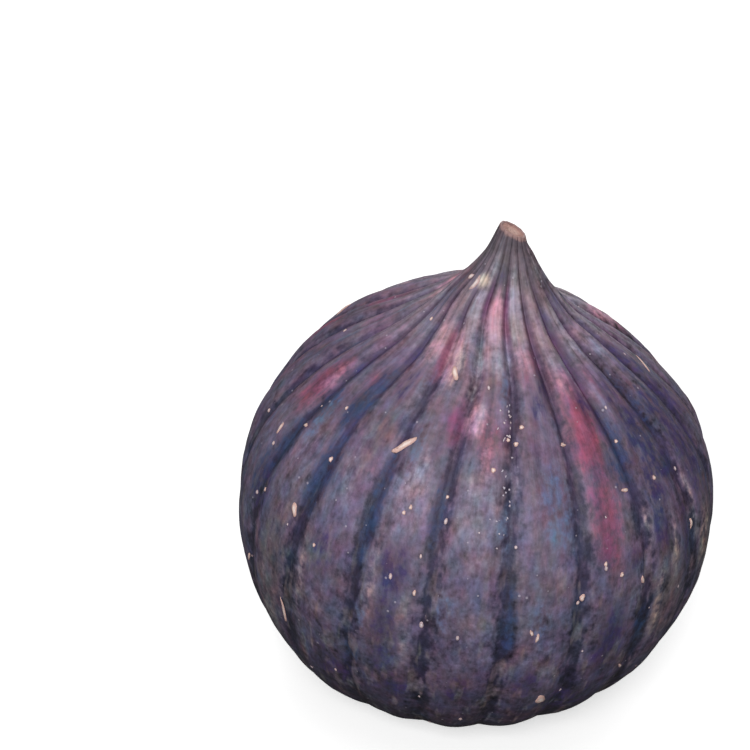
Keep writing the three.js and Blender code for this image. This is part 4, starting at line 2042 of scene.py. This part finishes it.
@dataclass(frozen=True)
class SoftBox:
    """A square studio light, in metres and watts.

    Attributes:
        name: of the light.
        place: where it stands.
        size: length of its side.
        power: its watts.
    """

    name: str
    place: tuple[float, float, float]
    size: float
    power: float

    def build(self, aim: tuple[float, float, float]) -> None:
        """Adds the light.

        Args:
            aim: the point that it faces.
        """
        data = bpy.data.lights.new(self.name, "AREA")
        data.shape = "SQUARE"
        data.size = self.size
        data.energy = self.power
        light = bpy.data.objects.new(self.name, data)
        light.location = self.place
        away = np.array(self.place) - np.array(aim)
        flat = math.hypot(away[0], away[1])
        light.rotation_euler = (math.atan2(flat, away[2]), 0.0, math.atan2(away[0], -away[1]))
        bpy.context.scene.collection.objects.link(light)


@dataclass(frozen=True)
class Studio:
    """Camera, floor and soft lights, in metres and degrees.

    Attributes:
        camera_place: where the camera stands.
        camera_pitch: how far it looks down.
        view_angle: how wide it sees.
        nearest: distance from which it sees things.
        floor_size: length of the floor's side.
        floor_colour: as the camera sees it.
        floor_bounce: grey of the floor as light meets it.
        floor_glow: its own light, towards the camera alone.
        floor_roughness: how dull it is.
        fill: light from all round.
        lights: the soft lights.
        aim: the point that they face.
    """

    camera_place: tuple[float, float, float] = (-0.0121, -0.21098, 0.1729)
    camera_pitch: float = 32.05
    view_angle: float = 20.0
    nearest: float = 0.01
    floor_size: float = 8.0
    floor_colour: str = "f0f0f0"
    floor_bounce: float = 0.12
    floor_glow: float = 0.5
    floor_roughness: float = 0.9
    fill: float = 0.17
    lights: tuple[SoftBox, ...] = (
        SoftBox("front_light", (-0.10, -0.62, 0.52), 0.35, 4.4),
        SoftBox("top_light", (0.0, -0.10, 0.8), 0.5, 1.3),
        SoftBox("back_light", (0.15, 0.62, 0.18), 0.5, 2.0),
    )
    aim: tuple[float, float, float] = (0.0, 0.0, 0.028)

    def build(self) -> None:
        """Builds the studio."""
        data = bpy.data.cameras.new("camera")
        data.lens_unit = "FOV"
        data.angle = math.radians(self.view_angle)
        data.clip_start = self.nearest
        camera = bpy.data.objects.new("camera", data)
        camera.location = self.camera_place
        camera.rotation_euler = (math.radians(90.0 - self.camera_pitch), 0.0, 0.0)
        bpy.context.scene.collection.objects.link(camera)
        bpy.context.scene.camera = camera
        for light in self.lights:
            light.build(self.aim)
        self._floor()
        self._world()
        bpy.context.scene.view_settings.view_transform = "Standard"

    def _floor(self) -> None:
        """Adds a plain pale floor."""
        half = self.floor_size / 2.0 / MM
        corners = np.array([(-half, -half, 0.0), (half, -half, 0.0), (half, half, 0.0), (-half, half, 0.0)])
        material, w, shader = new_material("studio_floor")
        seen = w.node("ShaderNodeLightPath").outputs["Is Camera Ray"]
        dull = (self.floor_bounce, self.floor_bounce, self.floor_bounce, 1.0)
        w.feed(shader.inputs["Base Color"], w.mix(seen, dull, paint(self.floor_colour)))
        w.feed(shader.inputs["Emission Strength"], w.times(seen, self.floor_glow))
        shader.inputs["Emission Color"].default_value = (1.0, 1.0, 1.0, 1.0)
        shader.inputs["Roughness"].default_value = self.floor_roughness
        floor = mesh_piece("studio_floor", corners, [(0, 1, 2, 3)], material)

    def _world(self) -> None:
        """Lights the scene softly from all round, and shows white behind it."""
        world = bpy.data.worlds.new("studio_world")
        world.use_nodes = True
        world.node_tree.nodes.clear()
        w = Wiring(world.node_tree)
        seen = w.node("ShaderNodeLightPath").outputs["Is Camera Ray"]
        strength = w.plus(w.times(seen, 1.0 - self.fill), self.fill)
        white = w.node("ShaderNodeBackground", {"Color": (1.0, 1.0, 1.0, 1.0), "Strength": strength})
        w.node("ShaderNodeOutputWorld", {"Surface": white.outputs[0]})
        bpy.context.scene.world = world


def main() -> None:
    """Builds the fig and its studio."""
    logging.basicConfig(level=logging.INFO, format="%(name)s %(message)s")
    Studio().build()
    effects = SharedEffects()
    form = FigForm()
    surface = Surface(form, SkinRelief())
    skin = Skin(surface, StainPattern()).build(SkinFinish(), effects)
    StalkCut(surface).build(CutFinish(), effects)
    marks = MarkFinish().build(effects)
    Marks(surface).build(marks)
    Lenticels().build(skin, marks)
    EyeScales(form).build(ScaleFinish().build(effects))


if __name__ == "__main__":
    main()
